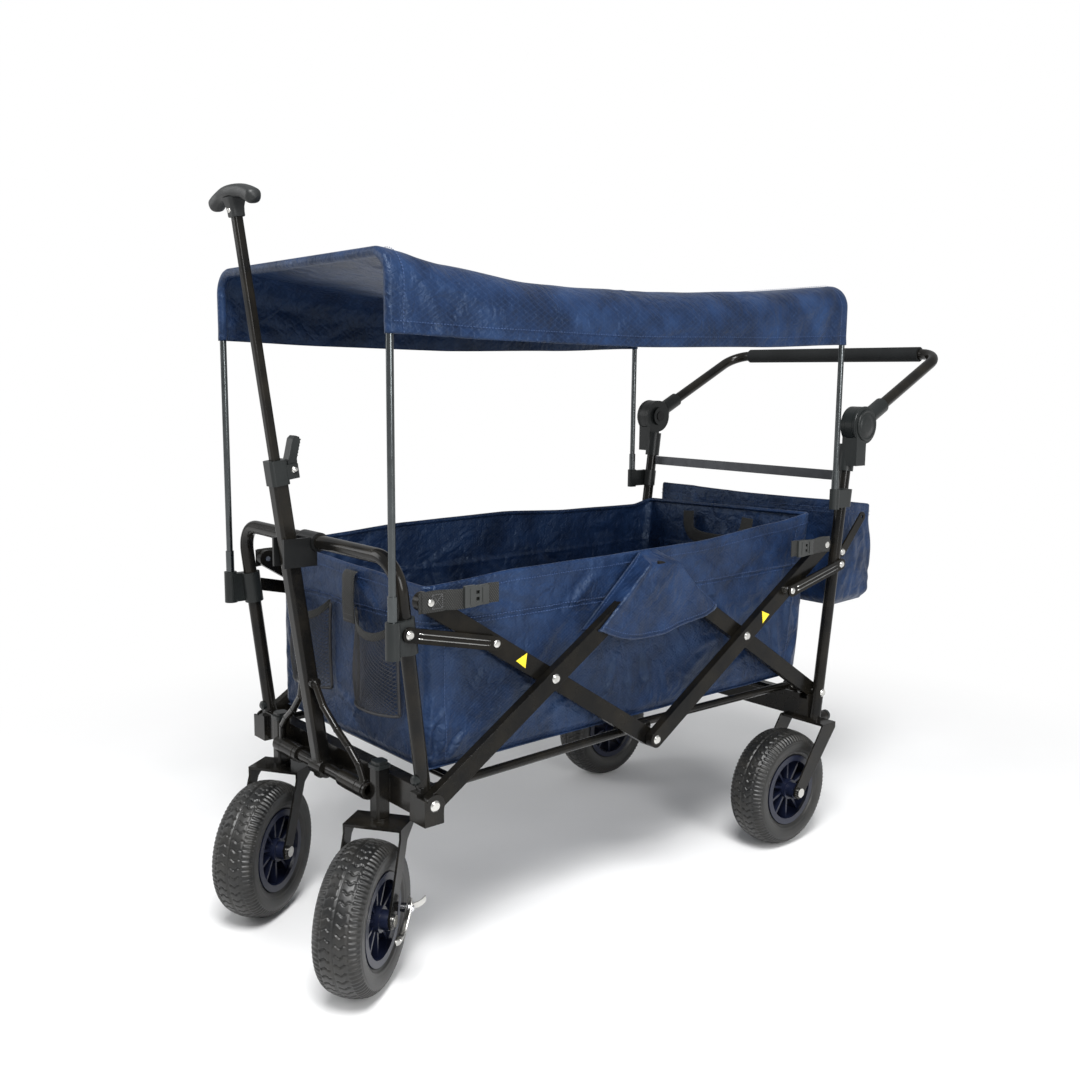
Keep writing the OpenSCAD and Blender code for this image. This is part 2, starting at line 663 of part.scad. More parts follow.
translate([0, shift_y, 0]) rear_frame();
translate([0, shift_y, 0]) rear_caps();
translate([0, shift_y, 0]) rear_sockets();
translate([0, shift_y, 0]) rear_cross_strap();
translate([0, shift_y, 0]) rear_frame_pins();
translate([0, shift_y, 0]) rear_axles();
translate([0, shift_y, 0]) rear_tyre_right();
translate([0, shift_y, 0]) rear_rim_right();
translate([0, shift_y, 0]) rear_tyre_left();
translate([0, shift_y, 0]) rear_rim_left();
translate([0, shift_y, 0]) basket_arms();
translate([0, shift_y, 0]) rear_basket();
translate([0, shift_y, 0]) hub_shells();
translate([0, shift_y, 0]) push_hubs();
translate([0, shift_y, 0]) push_tube();
translate([0, shift_y, 0]) push_grip();
translate([0, shift_y, 0]) release_button_right();
translate([0, shift_y, 0]) release_button_left();
translate([0, shift_y, 0]) caster_fork_right();
translate([0, shift_y, 0]) caster_fork_left();
translate([0, shift_y, 0]) front_axle_right();
translate([0, shift_y, 0]) front_axle_left();
translate([0, shift_y, 0]) front_tyre_right();
translate([0, shift_y, 0]) front_rim_right();
translate([0, shift_y, 0]) front_tyre_left();
translate([0, shift_y, 0]) front_rim_left();
translate([0, shift_y, 0]) brake_right();
translate([0, shift_y, 0]) brake_left();
translate([0, shift_y, 0]) handle_tube();
translate([0, shift_y, 0]) handle_arch();
translate([0, shift_y, 0]) handle_collar();
translate([0, shift_y, 0]) handle_slider();
translate([0, shift_y, 0]) handle_grip();
translate([0, shift_y, 0]) cam_lever();
translate([0, shift_y, 0]) tub_fabric();
translate([0, shift_y, 0]) front_pockets();
translate([0, shift_y, 0]) side_flaps();
translate([0, shift_y, 0]) side_straps();
translate([0, shift_y, 0]) strap_buckles();
translate([0, shift_y, 0]) canopy_fabric();
translate([0, shift_y, 0]) front_bow();
translate([0, shift_y, 0]) rear_bow();
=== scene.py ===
import bpy, math
from mathutils import Vector, Matrix, noise

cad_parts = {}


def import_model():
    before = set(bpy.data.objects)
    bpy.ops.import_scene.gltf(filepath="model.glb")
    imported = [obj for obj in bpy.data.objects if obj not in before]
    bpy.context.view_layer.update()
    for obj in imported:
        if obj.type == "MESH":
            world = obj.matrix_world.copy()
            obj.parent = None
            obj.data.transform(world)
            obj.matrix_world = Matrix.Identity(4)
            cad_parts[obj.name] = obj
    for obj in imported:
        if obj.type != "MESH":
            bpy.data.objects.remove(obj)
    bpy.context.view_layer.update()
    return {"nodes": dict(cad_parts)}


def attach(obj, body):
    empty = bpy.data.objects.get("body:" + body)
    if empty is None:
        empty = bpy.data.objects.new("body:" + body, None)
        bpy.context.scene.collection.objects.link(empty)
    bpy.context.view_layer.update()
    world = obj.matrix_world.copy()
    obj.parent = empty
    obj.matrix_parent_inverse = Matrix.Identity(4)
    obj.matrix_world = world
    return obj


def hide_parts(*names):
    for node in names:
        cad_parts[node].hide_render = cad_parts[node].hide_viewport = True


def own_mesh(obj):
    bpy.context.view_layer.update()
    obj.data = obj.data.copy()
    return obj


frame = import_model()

NODES = frame["nodes"]
SY = -0.0847          # the row frame's shift along Y
sin, cos, pi, rad = math.sin, math.cos, math.pi, math.radians


def M(x, y, z):
    """millimetres in the wagon's own layout to metres in the row frame"""
    return Vector((x / 1000.0, y / 1000.0 + SY, z / 1000.0))


# ------------------------------------------------------------------ materials
def new_mat(name):
    m = bpy.data.materials.new(name)
    m.use_nodes = True
    nt = m.node_tree
    nt.nodes.clear()
    out = nt.nodes.new("ShaderNodeOutputMaterial")
    p = nt.nodes.new("ShaderNodeBsdfPrincipled")
    nt.links.new(p.outputs[0], out.inputs[0])
    return m, nt, p


def N(nt, kind, **props):
    n = nt.nodes.new(kind)
    for k, v in props.items():
        if k.startswith("i_"):
            n.inputs[k[2:].replace("_", " ")].default_value = v
        else:
            setattr(n, k, v)
    return n


def coords(nt, scale=(1, 1, 1), rot=(0, 0, 0)):
    tc = N(nt, "ShaderNodeTexCoord")
    mp = N(nt, "ShaderNodeMapping")
    mp.inputs["Scale"].default_value = scale
    mp.inputs["Rotation"].default_value = rot
    nt.links.new(tc.outputs["Object"], mp.inputs["Vector"])
    return mp.outputs[0]


def noise_tex(nt, vec, scale, detail=3.0, rough=0.5):
    n = N(nt, "ShaderNodeTexNoise")
    n.inputs["Scale"].default_value = scale
    n.inputs["Detail"].default_value = detail
    n.inputs["Roughness"].default_value = rough
    nt.links.new(vec, n.inputs["Vector"])
    return n.outputs["Fac"]


def ramp(nt, fac, stops):
    r = N(nt, "ShaderNodeValToRGB")
    e = r.color_ramp.elements
    e[0].position, e[0].color = stops[0][0], (*stops[0][1], 1)
    e[1].position, e[1].color = stops[-1][0], (*stops[-1][1], 1)
    for pos, col in stops[1:-1]:
        k = e.new(pos)
        k.color = (*col, 1)
    nt.links.new(fac, r.inputs[0])
    return r.outputs[0]


def math_n(nt, op, a, b=None, c=None):
    n = N(nt, "ShaderNodeMath", operation=op)
    for i, v in enumerate((a, b, c)):
        if v is None:
            continue
        if isinstance(v, (int, float)):
            n.inputs[i].default_value = v
        else:
            nt.links.new(v, n.inputs[i])
    return n.outputs[0]


def mix_rgb(nt, fac, a, b, mode="MIX"):
    n = N(nt, "ShaderNodeMix", data_type="RGBA", blend_type=mode)
    for sock, v in ((n.inputs["Factor"], fac), (n.inputs[6], a), (n.inputs[7], b)):
        if isinstance(v, (int, float)):
            sock.default_value = v
        elif isinstance(v, tuple):
            sock.default_value = (*v, 1) if len(v) == 3 else v
        else:
            nt.links.new(v, sock)
    return n.outputs[2]


def bump(nt, p, h, strength, dist, prev=None):
    b = N(nt, "ShaderNodeBump")
    b.inputs["Strength"].default_value = strength
    b.inputs["Distance"].default_value = dist
    nt.links.new(h, b.inputs["Height"])
    if prev is not None:
        nt.links.new(prev, b.inputs["Normal"])
    nt.links.new(b.outputs[0], p.inputs["Normal"])
    return b.outputs[0]


def fabric(name, base, light, dark, sheen=0.20, rough=0.50, grid=0.0052, gridfac=0.22, spec=0.55):
    """Coated oxford cloth: plain weave, raised diamond ripstop grid, fine crumple, a soft shine on its folds."""
    m, nt, p = new_mat(name)
    v = coords(nt)
    sep = N(nt, "ShaderNodeSeparateXYZ")
    nt.links.new(v, sep.inputs[0])
    # two crossing families of lines, the same on walls that face X or Y
    hxy = math_n(nt, "ADD", sep.outputs[0], sep.outputs[1])
    za = math_n(nt, "MULTIPLY", sep.outputs[2], 1.0)
    d1 = math_n(nt, "ADD", math_n(nt, "MULTIPLY", hxy, 0.62), za)
    d2 = math_n(nt, "SUBTRACT", math_n(nt, "MULTIPLY", hxy, 0.62), za)
    lines = None
    for d in (d1, d2):
        f = math_n(nt, "FRACT", math_n(nt, "DIVIDE", d, grid))
        f = math_n(nt, "ABSOLUTE", math_n(nt, "SUBTRACT", f, 0.5))
        f = math_n(nt, "SMOOTH_MAX", f, 0.40, 0.03)
        f = math_n(nt, "MULTIPLY", math_n(nt, "SUBTRACT", f, 0.40), 10.0)
        lines = f if lines is None else math_n(nt, "MAXIMUM", lines, f)
    big = noise_tex(nt, v, 14.0, 6.0, 0.62)
    mid = noise_tex(nt, v, 70.0, 5.0, 0.6)
    wv = N(nt, "ShaderNodeTexVoronoi", feature="DISTANCE_TO_EDGE")
    wv.inputs["Scale"].default_value = 34.0
    wn = N(nt, "ShaderNodeTexNoise")
    wn.inputs["Scale"].default_value = 18.0
    wn.inputs["Detail"].default_value = 4.0
    nt.links.new(v, wn.inputs["Vector"])
    wmix = N(nt, "ShaderNodeVectorMath", operation="MULTIPLY_ADD")
    nt.links.new(wn.outputs["Color"], wmix.inputs[0])
    wmix.inputs[1].default_value = (0.09, 0.09, 0.09)
    nt.links.new(v, wmix.inputs[2])
    nt.links.new(wmix.outputs[0], wv.inputs["Vector"])
    crease = math_n(nt, "MINIMUM", math_n(nt, "MULTIPLY", wv.outputs["Distance"], 3.2), 1.0)
    weave = noise_tex(nt, coords(nt, (1, 1, 1)), 1100.0, 2.0, 0.5)
    col = ramp(nt, big, [(0.38, dark), (0.52, base), (0.74, light)])
    col = mix_rgb(nt, math_n(nt, "MULTIPLY", lines, gridfac), col, light)
    col = mix_rgb(nt, math_n(nt, "MULTIPLY", weave, 0.30), col, dark)
    nt.links.new(col, p.inputs["Base Color"])
    r = math_n(nt, "MULTIPLY_ADD", mid, 0.20, rough - 0.10)
    nt.links.new(r, p.inputs["Roughness"])
    p.inputs["Sheen Weight"].default_value = sheen
    p.inputs["Sheen Roughness"].default_value = 0.4
    p.inputs["Sheen Tint"].default_value = (0.50, 0.66, 1.0, 1)
    p.inputs["Specular IOR Level"].default_value = spec
    p.inputs["Specular Tint"].default_value = (0.62, 0.78, 1.0, 1)
    b0 = bump(nt, p, crease, 0.40, 0.0024)
    b1 = bump(nt, p, mid, 0.75, 0.0026, b0)
    b2 = bump(nt, p, lines, 0.45, 0.0004, b1)
    bump(nt, p, weave, 0.30, 0.0002, b2)
    return m


def plastic(name, col, rough=0.42, grain=0.25, scale=420.0, var=0.25, spec=0.5):
    m, nt, p = new_mat(name)
    v = coords(nt)
    g = noise_tex(nt, v, scale, 3.0, 0.6)
    w = noise_tex(nt, v, 14.0, 3.0, 0.5)
    lo = tuple(c * (1 - var) for c in col)
    hi = tuple(min(1, c * (1 + var)) for c in col)
    nt.links.new(ramp(nt, w, [(0.3, lo), (0.7, hi)]), p.inputs["Base Color"])
    nt.links.new(math_n(nt, "MULTIPLY_ADD", w, 0.14, rough - 0.07), p.inputs["Roughness"])
    p.inputs["Specular IOR Level"].default_value = spec
    bump(nt, p, g, grain, 0.0002)
    return m


def powder(name, col=(0.0045, 0.0045, 0.0045), rough=0.16, peel=0.08, coat=0.0, spec=0.22):
    """glossy black stove enamel with orange peel and faint warm dust"""
    m, nt, p = new_mat(name)
    v = coords(nt)
    w = noise_tex(nt, v, 22.0, 4.0, 0.6)
    peel_n = noise_tex(nt, v, 330.0, 2.0, 0.5)
    nt.links.new(ramp(nt, w, [(0.35, col), (0.75, (col[0] * 2.0 + 0.004, col[1] * 1.8 + 0.003, col[2] * 1.6 + 0.001))]), p.inputs["Base Color"])
    nt.links.new(math_n(nt, "MULTIPLY_ADD", w, 0.16, rough - 0.06), p.inputs["Roughness"])
    p.inputs["Coat Weight"].default_value = coat
    p.inputs["Coat Roughness"].default_value = 0.12
    p.inputs["Specular IOR Level"].default_value = spec
    bv = N(nt, "ShaderNodeBevel", samples=4)
    bv.inputs["Radius"].default_value = 0.0009
    b = bump(nt, p, peel_n, peel, 0.0003)
    bn = b.node
    nt.links.new(bv.outputs[0], bn.inputs["Normal"])
    return m


def metal(name, col, rough, brushed=0.0, metallic=1.0):
    m, nt, p = new_mat(name)
    v = coords(nt, (1, 1, 1))
    w = noise_tex(nt, v, 60.0, 4.0, 0.6)
    s = noise_tex(nt, coords(nt, (40, 40, 900)), 3.0, 2.0, 0.5)
    lo = tuple(c * 0.8 for c in col)
    nt.links.new(ramp(nt, w, [(0.3, lo), (0.7, col)]), p.inputs["Base Color"])
    nt.links.new(math_n(nt, "MULTIPLY_ADD", w, 0.12, rough - 0.05), p.inputs["Roughness"])
    p.inputs["Metallic"].default_value = metallic
    bump(nt, p, s, 0.05 + brushed, 0.0002)
    return m


def rubber(name, col=(0.022, 0.022, 0.022), dusty=(0.075, 0.072, 0.066)):
    m, nt, p = new_mat(name)
    v = coords(nt)
    w = noise_tex(nt, v, 30.0, 5.0, 0.65)
    f = noise_tex(nt, v, 260.0, 3.0, 0.6)
    nt.links.new(ramp(nt, w, [(0.40, col), (0.78, dusty)]), p.inputs["Base Color"])
    nt.links.new(math_n(nt, "MULTIPLY_ADD", w, 0.22, 0.30), p.inputs["Roughness"])
    p.inputs["Specular IOR Level"].default_value = 0.5
    bump(nt, p, f, 0.25, 0.0003)
    return m


def webbing_mat(name, col=(0.0105, 0.0108, 0.0100), along="y", pitch=0.0034):
    m, nt, p = new_mat(name)
    v = coords(nt)
    sep = N(nt, "ShaderNodeSeparateXYZ")
    nt.links.new(v, sep.inputs[0])
    a, b = (sep.outputs[1], sep.outputs[2]) if along == "y" else (sep.outputs[2], sep.outputs[0])
    if along == "x":
        a, b = sep.outputs[0], sep.outputs[2]
    d = math_n(nt, "ADD", a, math_n(nt, "ABSOLUTE", math_n(nt, "SUBTRACT", math_n(nt, "FRACT", math_n(nt, "DIVIDE", b, 0.006)), 0.5)))
    s1 = math_n(nt, "SINE", math_n(nt, "MULTIPLY", a, 2 * pi / pitch))
    s2 = math_n(nt, "SINE", math_n(nt, "MULTIPLY", b, 2 * pi / (pitch * 1.3)))
    h = math_n(nt, "MULTIPLY", s1, s2)
    w = noise_tex(nt, v, 120.0, 3.0, 0.6)
    hh = math_n(nt, "MULTIPLY_ADD", h, 0.5, 0.5)
    # the weave's low points are painted darker (painted shade between the yarns) and its raised yarns painted lighter
    # (painted highlight), following the same height that drives the bump
    nt.links.new(ramp(nt, hh, [(0.0, tuple(c * 0.5 for c in col)), (0.62, col), (1.0, tuple(c * 3.2 + 0.022 for c in col))]), p.inputs["Base Color"])
    nt.links.new(math_n(nt, "MULTIPLY_ADD", w, 0.2, 0.6), p.inputs["Roughness"])
    p.inputs["Specular IOR Level"].default_value = 0.3
    p.inputs["Sheen Weight"].default_value = 0.08
    bump(nt, p, h, 0.6, 0.0004)
    return m


NAVY = fabric("navy_oxford", (0.0062, 0.0180, 0.0560), (0.0155, 0.0390, 0.1050), (0.0026, 0.0080, 0.0270), sheen=0.05, rough=0.40, gridfac=0.42, spec=0.40)
NAVY_CAN = fabric("navy_canopy", (0.0062, 0.0180, 0.0560), (0.0155, 0.0390, 0.1050), (0.0026, 0.0080, 0.0270), sheen=0.05, rough=0.40, grid=0.0075, gridfac=0.42, spec=0.38)
NAVY_BIND = fabric("navy_binding", (0.006, 0.014, 0.045), (0.012, 0.026, 0.070), (0.003, 0.008, 0.026), gridfac=0.0)
BLACK = powder("black_enamel")
BAR = powder("black_enamel_bar", (0.0034, 0.0034, 0.0033), 0.22, 0.12, 0.0, 0.14)
PLAST = plastic("charcoal_plastic", (0.0125, 0.0145, 0.0145), 0.36, 0.22, spec=0.30)
PLAST_D = plastic("dark_plastic", (0.0070, 0.0074, 0.0076), 0.34, 0.16, spec=0.28)
GRIPM = plastic("grip_rubber", (0.0170, 0.0185, 0.0190), 0.44, 0.35, 520.0, 0.3, 0.35)
BUCKLE = plastic("buckle_plastic", (0.024, 0.026, 0.025), 0.30, 0.10, spec=0.5)
CHROME = metal("bright_chrome", (0.80, 0.80, 0.82), 0.16)
POLE = metal("pole_chrome", (0.115, 0.125, 0.128), 0.20)
RIVET = metal("zinc_rivet", (0.70, 0.69, 0.66), 0.24, 0.04)
# bright steel grey for the thin ribs on the black links: a painted highlight, the light the ribs catch painted into
# their colour
RIB_HIGHLIGHT = metal("rib_painted_highlight_steel", (0.34, 0.34, 0.33), 0.22, 0.02)
BRAKE = metal("zinc_brake", (0.62, 0.61, 0.58), 0.28, 0.10)
TYRE = rubber("tyre_rubber", (0.0070, 0.0072, 0.0072), (0.0215, 0.0200, 0.0170))
RIM = plastic("navy_rim", (0.0062, 0.0085, 0.0210), 0.30, 0.12, spec=0.4)
FOAM = plastic("foam_grip", (0.0085, 0.0095, 0.0100), 0.78, 0.9, 700.0, 0.3, 0.2)
WEB = webbing_mat("black_webbing")
WEBZ = webbing_mat("black_webbing_upright", along="z")
WEBX = webbing_mat("black_webbing_cross", along="x")
MESH = plastic("net_cord", (0.020, 0.020, 0.022), 0.6, 0.3, 900.0)
YELLOW = plastic("yellow_marker", (0.85, 0.62, 0.02), 0.35, 0.05)
STITCH = plastic("navy_thread", (0.030, 0.060, 0.150), 0.7, 0.2)
STITCHB = plastic("grey_thread", (0.10, 0.10, 0.105), 0.7, 0.2)
FLATBAR = metal("flat_bar_grey", (0.085, 0.088, 0.095), 0.30, 0.05)


def paint(mat, *nodes):
    for n in nodes:
        o = NODES[n]
        if not o.data.materials:
            o.data.materials.append(mat)
        for i in range(len(o.data.materials)):
            o.data.materials[i] = mat


paint(BLACK, "front_frame", "handle_pivot_tube", "rear_frame", "front_rails", "rear_rails", "caster_fork_right",
      "caster_fork_left", "handle_tube", "handle_arch", "handle_slider", "push_tube")
paint(BAR, "front_links", "front_outer_bars", "front_inner_bars", "rear_inner_bars", "rear_outer_bars", "rear_links", "basket_arms")
paint(FLATBAR, "rear_cross_strap")
paint(PLAST, "front_caps", "front_sockets", "rear_caps", "rear_sockets", "hub_shells", "push_hubs", "handle_collar", "handle_grip", "cam_lever")
paint(PLAST_D, "handle_clip", "release_button_right", "release_button_left")
paint(RIVET, "front_frame_pins", "front_outer_pins", "front_inner_pins", "rear_inner_pins", "rear_outer_pins", "rear_frame_pins",
      "rear_axles", "front_axle_right", "front_axle_left")
paint(POLE, "front_bow", "rear_bow")
paint(BRAKE, "brake_right", "brake_left")
paint(RIM, "rear_rim_right", "rear_rim_left", "front_rim_right", "front_rim_left")
paint(FOAM, "push_grip")
for n in ("tub_fabric", "front_pockets", "side_flaps", "side_straps", "strap_buckles", "canopy_fabric", "rear_basket"):
    paint(NAVY, n)


# ------------------------------------------------------------------ mesh helpers
def obj(name, verts, faces, mat, smooth=True):
    me = bpy.data.meshes.new(name)
    me.from_pydata([tuple(v) for v in verts], [], faces)
    me.update()
    if smooth:
        me.polygons.foreach_set("use_smooth", [True] * len(me.polygons))
    o = bpy.data.objects.new(name, me)
    bpy.context.scene.collection.objects.link(o)
    me.materials.append(mat)
    return o


def grid(name, f, nu, nv, mat, cu=False, cv=False, smooth=True):
    """surface through f(i/nu, j/nv); cu / cv close it along that direction"""
    mu, mv = (nu if cu else nu + 1), (nv if cv else nv + 1)
    vs = [f(i / nu, j / nv) for i in range(mu) for j in range(mv)]
    fs = []
    for i in range(nu):
        for j in range(nv):
            a, b = i, (i + 1) % mu
            c, d = j, (j + 1) % mv
            fs.append((a * mv + c, b * mv + c, b * mv + d, a * mv + d))
    return obj(name, vs, fs, mat, smooth)


def solid(o, t, offset=-1.0, even=True):
    m = o.modifiers.new("thick", "SOLIDIFY")
    m.thickness = t
    m.offset = offset
    m.use_even_offset = even
    return o


def bevel(o, w, seg=2, angle=30):
    m = o.modifiers.new("edge", "BEVEL")
    m.width = w
    m.segments = seg
    m.limit_method = "ANGLE"
    m.angle_limit = rad(angle)
    return o


def catmull(pts, n):
    """n points along a smooth curve through pts"""
    P = [Vector(p) for p in pts]
    P = [P[0] * 2 - P[1]] + P + [P[-1] * 2 - P[-2]]
    out = []
    segs = len(P) - 3
    for k in range(n + 1):
        t = k / n * segs
        i = min(int(t), segs - 1)
        t -= i
        a, b, c, d = P[i:i + 4]
        out.append(0.5 * ((2 * b) + (c - a) * t + (2 * a - 5 * b + 4 * c - d) * t * t + (3 * b - a - 3 * c + d) * t ** 3))
    return out


def tube(name, pts, r, mat, seg=14, close=False, rfun=None, caps=True):
    vs, fs = [], []
    n = len(pts)
    up = Vector((0, 0, 1))
    prev = None
    for i, p in enumerate(pts):
        a = pts[(i - 1) % n] if (close or i) else p
        b = pts[(i + 1) % n] if (close or i < n - 1) else p
        t = (b - a).normalized()
        if prev is None:
            u = t.cross(up)
            if u.length < 1e-3:
                u = t.cross(Vector((1, 0, 0)))
        else:
            u = prev - t * prev.dot(t)
        u.normalize()
        prev = u
        w = t.cross(u)
        rr = rfun(i / max(1, n - 1)) if rfun else r
        for k in range(seg):
            q = 2 * pi * k / seg
            vs.append(p + u * (rr * cos(q)) + w * (rr * sin(q)))
    m = n if close else n - 1
    for i in range(m):
        for k in range(seg):
            a, b = i * seg + k, i * seg + (k + 1) % seg
            c, d = ((i + 1) % n) * seg + k, ((i + 1) % n) * seg + (k + 1) % seg
            fs.append((a, b, d, c))
    if caps and not close:
        fs.append(tuple(reversed(range(seg))))
        fs.append(tuple(range((n - 1) * seg, n * seg)))
    return obj(name, vs, fs, mat)


def strip(name, pts, wdir, width, thick, mat, nw=4, sag=0.0):
    """flat webbing along pts, its width along wdir (one vector, or one for each point)"""
    n = len(pts)
    W = wdir if isinstance(wdir, list) else [Vector(wdir)] * n

    def f(u, v):
        i = round(u * (n - 1))
        w = W[i].normalized()
        return pts[i] + w * ((v - 0.5) * width)
    o = grid(name, f, n - 1, nw, mat)
    solid(o, thick, 0.0)
    bevel(o, thick * 0.3, 2)
    return o


def join(name, objs):
    """merges objects of one body into one piece, modifiers applied"""
    dg = bpy.context.evaluated_depsgraph_get()
    dg.update()
    vs, fs, mi, sm, mats = [], [], [], [], []
    for o in objs:
        e = o.evaluated_get(dg)
        me = e.to_mesh()
        base = len(vs)
        vs += [tuple(o.matrix_world @ v.co) for v in me.vertices]
        for p in me.polygons:
            fs.append(tuple(base + k for k in p.vertices))
            mt = o.data.materials[p.material_index] if o.data.materials else None
            if mt not in mats:
                mats.append(mt)
            mi.append(mats.index(mt))
            sm.append(p.use_smooth)
        e.to_mesh_clear()
    me = bpy.data.meshes.new(name)
    me.from_pydata(vs, [], fs)
    for mt in mats:
        me.materials.append(mt)
    me.polygons.foreach_set("material_index", mi)
    me.polygons.foreach_set("use_smooth", sm)
    me.update()
    for o in objs:
        bpy.data.objects.remove(o, do_unlink=True)
    r = bpy.data.objects.new(name, me)
    bpy.context.scene.collection.objects.link(r)
    return r


def ellip(name, c, r, mat, ax=(1, 1, 1), seg=10):
    c = Vector(c)
    def f(u, v):
        a, b = 2 * pi * u, pi * v
        return c + Vector((r * ax[0] * sin(b) * cos(a), r * ax[1] * sin(b) * sin(a), r * ax[2] * cos(b)))
    return grid(name, f, seg, seg // 2, mat, cu=True)


def lathe(name, prof, centre, axis, mat, seg=40):
    """profile of (radius, height along axis) in metres, turned round axis"""
    ax = Vector(axis).normalized()
    u = ax.cross(Vector((0, 0, 1)))
    if u.length < 1e-3:
        u = ax.cross(Vector((1, 0, 0)))
    u.normalize()
    w = ax.cross(u)
    c = Vector(centre)

    def f(i, j):
        r, h = prof[round(j * (len(prof) - 1))]
        q = 2 * pi * i
        return c + ax * h + u * (r * cos(q)) + w * (r * sin(q))
    return grid(name, f, seg, len(prof) - 1, mat, cu=True)


def stitches(name, pts, mat, pitch=0.0042, length=0.0028, r=0.00045, lift=None):
    """a row of short threads along pts"""
    vs, fs = [], []
    # resample by length
    L = [0.0]
    for a, b in zip(pts, pts[1:]):
        L.append(L[-1] + (b - a).length)
    if L[-1] < pitch:
        return None

    def at(s):
        s = min(max(s, 0), L[-1])
        lo = 0
        hi = len(L) - 1
        while hi - lo > 1:
            mid = (lo + hi) // 2
            if L[mid] <= s:
                lo = mid
            else:
                hi = mid
        t = (s - L[lo]) / max(1e-9, L[hi] - L[lo])
        return pts[lo].lerp(pts[hi], t)
    k = 0
    s = pitch / 2
    while s < L[-1]:
        a, b = at(s - length / 2), at(s + length / 2)
        t = (b - a).normalized()
        u = t.cross(Vector((0.3, 0.5, 0.81))).normalized()
        w = t.cross(u)
        base = len(vs)
        for q, rr in ((0, 0.3), (0.25, 1), (0.75, 1), (1, 0.3)):
            c = a.lerp(b, q)
            for j in range(6):
                an = pi / 3 * j
                vs.append(c + (u * cos(an) + w * sin(an)) * (r * rr))
        for i in range(3):
            for j in range(6):
                fs.append((base + i * 6 + j, base + i * 6 + (j + 1) % 6, base + (i + 1) * 6 + (j + 1) % 6, base + (i + 1) * 6 + j))
        s += pitch
    return obj(name, vs, fs, mat)


def nz(x, y, z, s=1.0, seed=0.0):
    return noise.noise(Vector((x * s + seed, y * s - seed * 0.7, z * s + seed * 0.31)))


def ridged(x, y, z, s=1.0, seed=0.0):
    return 1.0 - abs(nz(x, y, z, s, seed)) * 2.0


def smooth01(t):
    t = min(1.0, max(0.0, t))
    return t * t * (3 - 2 * t)


def lerp_tab(tab, y):
    if y <= tab[0][0]:
        return tab[0][1]
    for (a, p), (b, q) in zip(tab, tab[1:]):
        if y <= b:
            t = (y - a) / (b - a)
            return p + (q - p) * smooth01(t) * 0.5 + (q - p) * t * 0.5
    return tab[-1][1]


def lcg(seed):
    st_ = [seed & 0x7fffffff or 1]

    def nxt():
        st_[0] = (st_[0] * 1103515245 + 12345) & 0x7fffffff
        return st_[0] / 0x7fffffff
    return nxt


def crease_set(seed, n, a0, a1, b0, b1, ang, spread, lmin, lmax, wmin, wmax, amp):
    """n random folds in a panel: a along it, b up it; each (a, b, direction, half length, width, height)"""
    r = lcg(seed)
    out = []
    for _ in range(n):
        a, b = a0 + (a1 - a0) * r(), b0 + (b1 - b0) * r()
        t = rad(ang[int(r() * len(ang)) % len(ang)] + spread * (r() * 2 - 1))
        out.append((a, b, cos(t), sin(t), 0.5 * (lmin + (lmax - lmin) * r()), wmin + (wmax - wmin) * r(), amp * (0.45 + 0.75 * r()) * (1 if r() > 0.35 else -0.7)))
    return out


def creases(cs, a, b):
    e = 0.0
    for (ca, cb, dx, dy, hl, w, h) in cs:
        u, v = a - ca, b - cb
        l = u * dx + v * dy
        if abs(l) > hl:
            continue
        d = -u * dy + v * dx
        # a slight bow along each fold
        d += (l / hl) ** 2 * w * 0.9
        if abs(d) > 4 * w:
            continue
        t = 1 - (l / hl) ** 2
        q = d / w
        e += h * t * t * (math.exp(-q * q) - 0.55 * math.exp(-(q - 1.7) ** 2))
    return e


# ------------------------------------------------------------------ canopy
CF, CR = -472.0, 421.0


CAN_SIDE = crease_set(11, 26, -440, 400, 8, 100, (62, 118, 82, 20, 160), 14, 50, 150, 4, 9, 1.5)
CAN_SIDE2 = crease_set(17, 26, -440, 400, 8, 100, (62, 118, 82, 20, 160), 14, 50, 150, 4, 9, 1.5)
CAN_ROOF = crease_set(23, 34, -430, 390, -190, 190, (35, 145, 8, 172), 16, 120, 330, 6, 15, 2.2)


def can_half(t):
    return (228 + 18 * t) + 6.8 - 5.5 * sin(pi * t)


def can_top(t):
    y = CF + (CR - CF) * t
    return lerp_tab([(-472, 959), (-380, 944), (-202, 929), (-60, 930), (78, 936), (260, 947), (421, 963)], y)


def can_bottom(t):
    y = CF + (CR - CF) * t
    return lerp_tab([(-472, 855), (-300, 851), (-60, 849), (200, 855), (421, 864)], y)


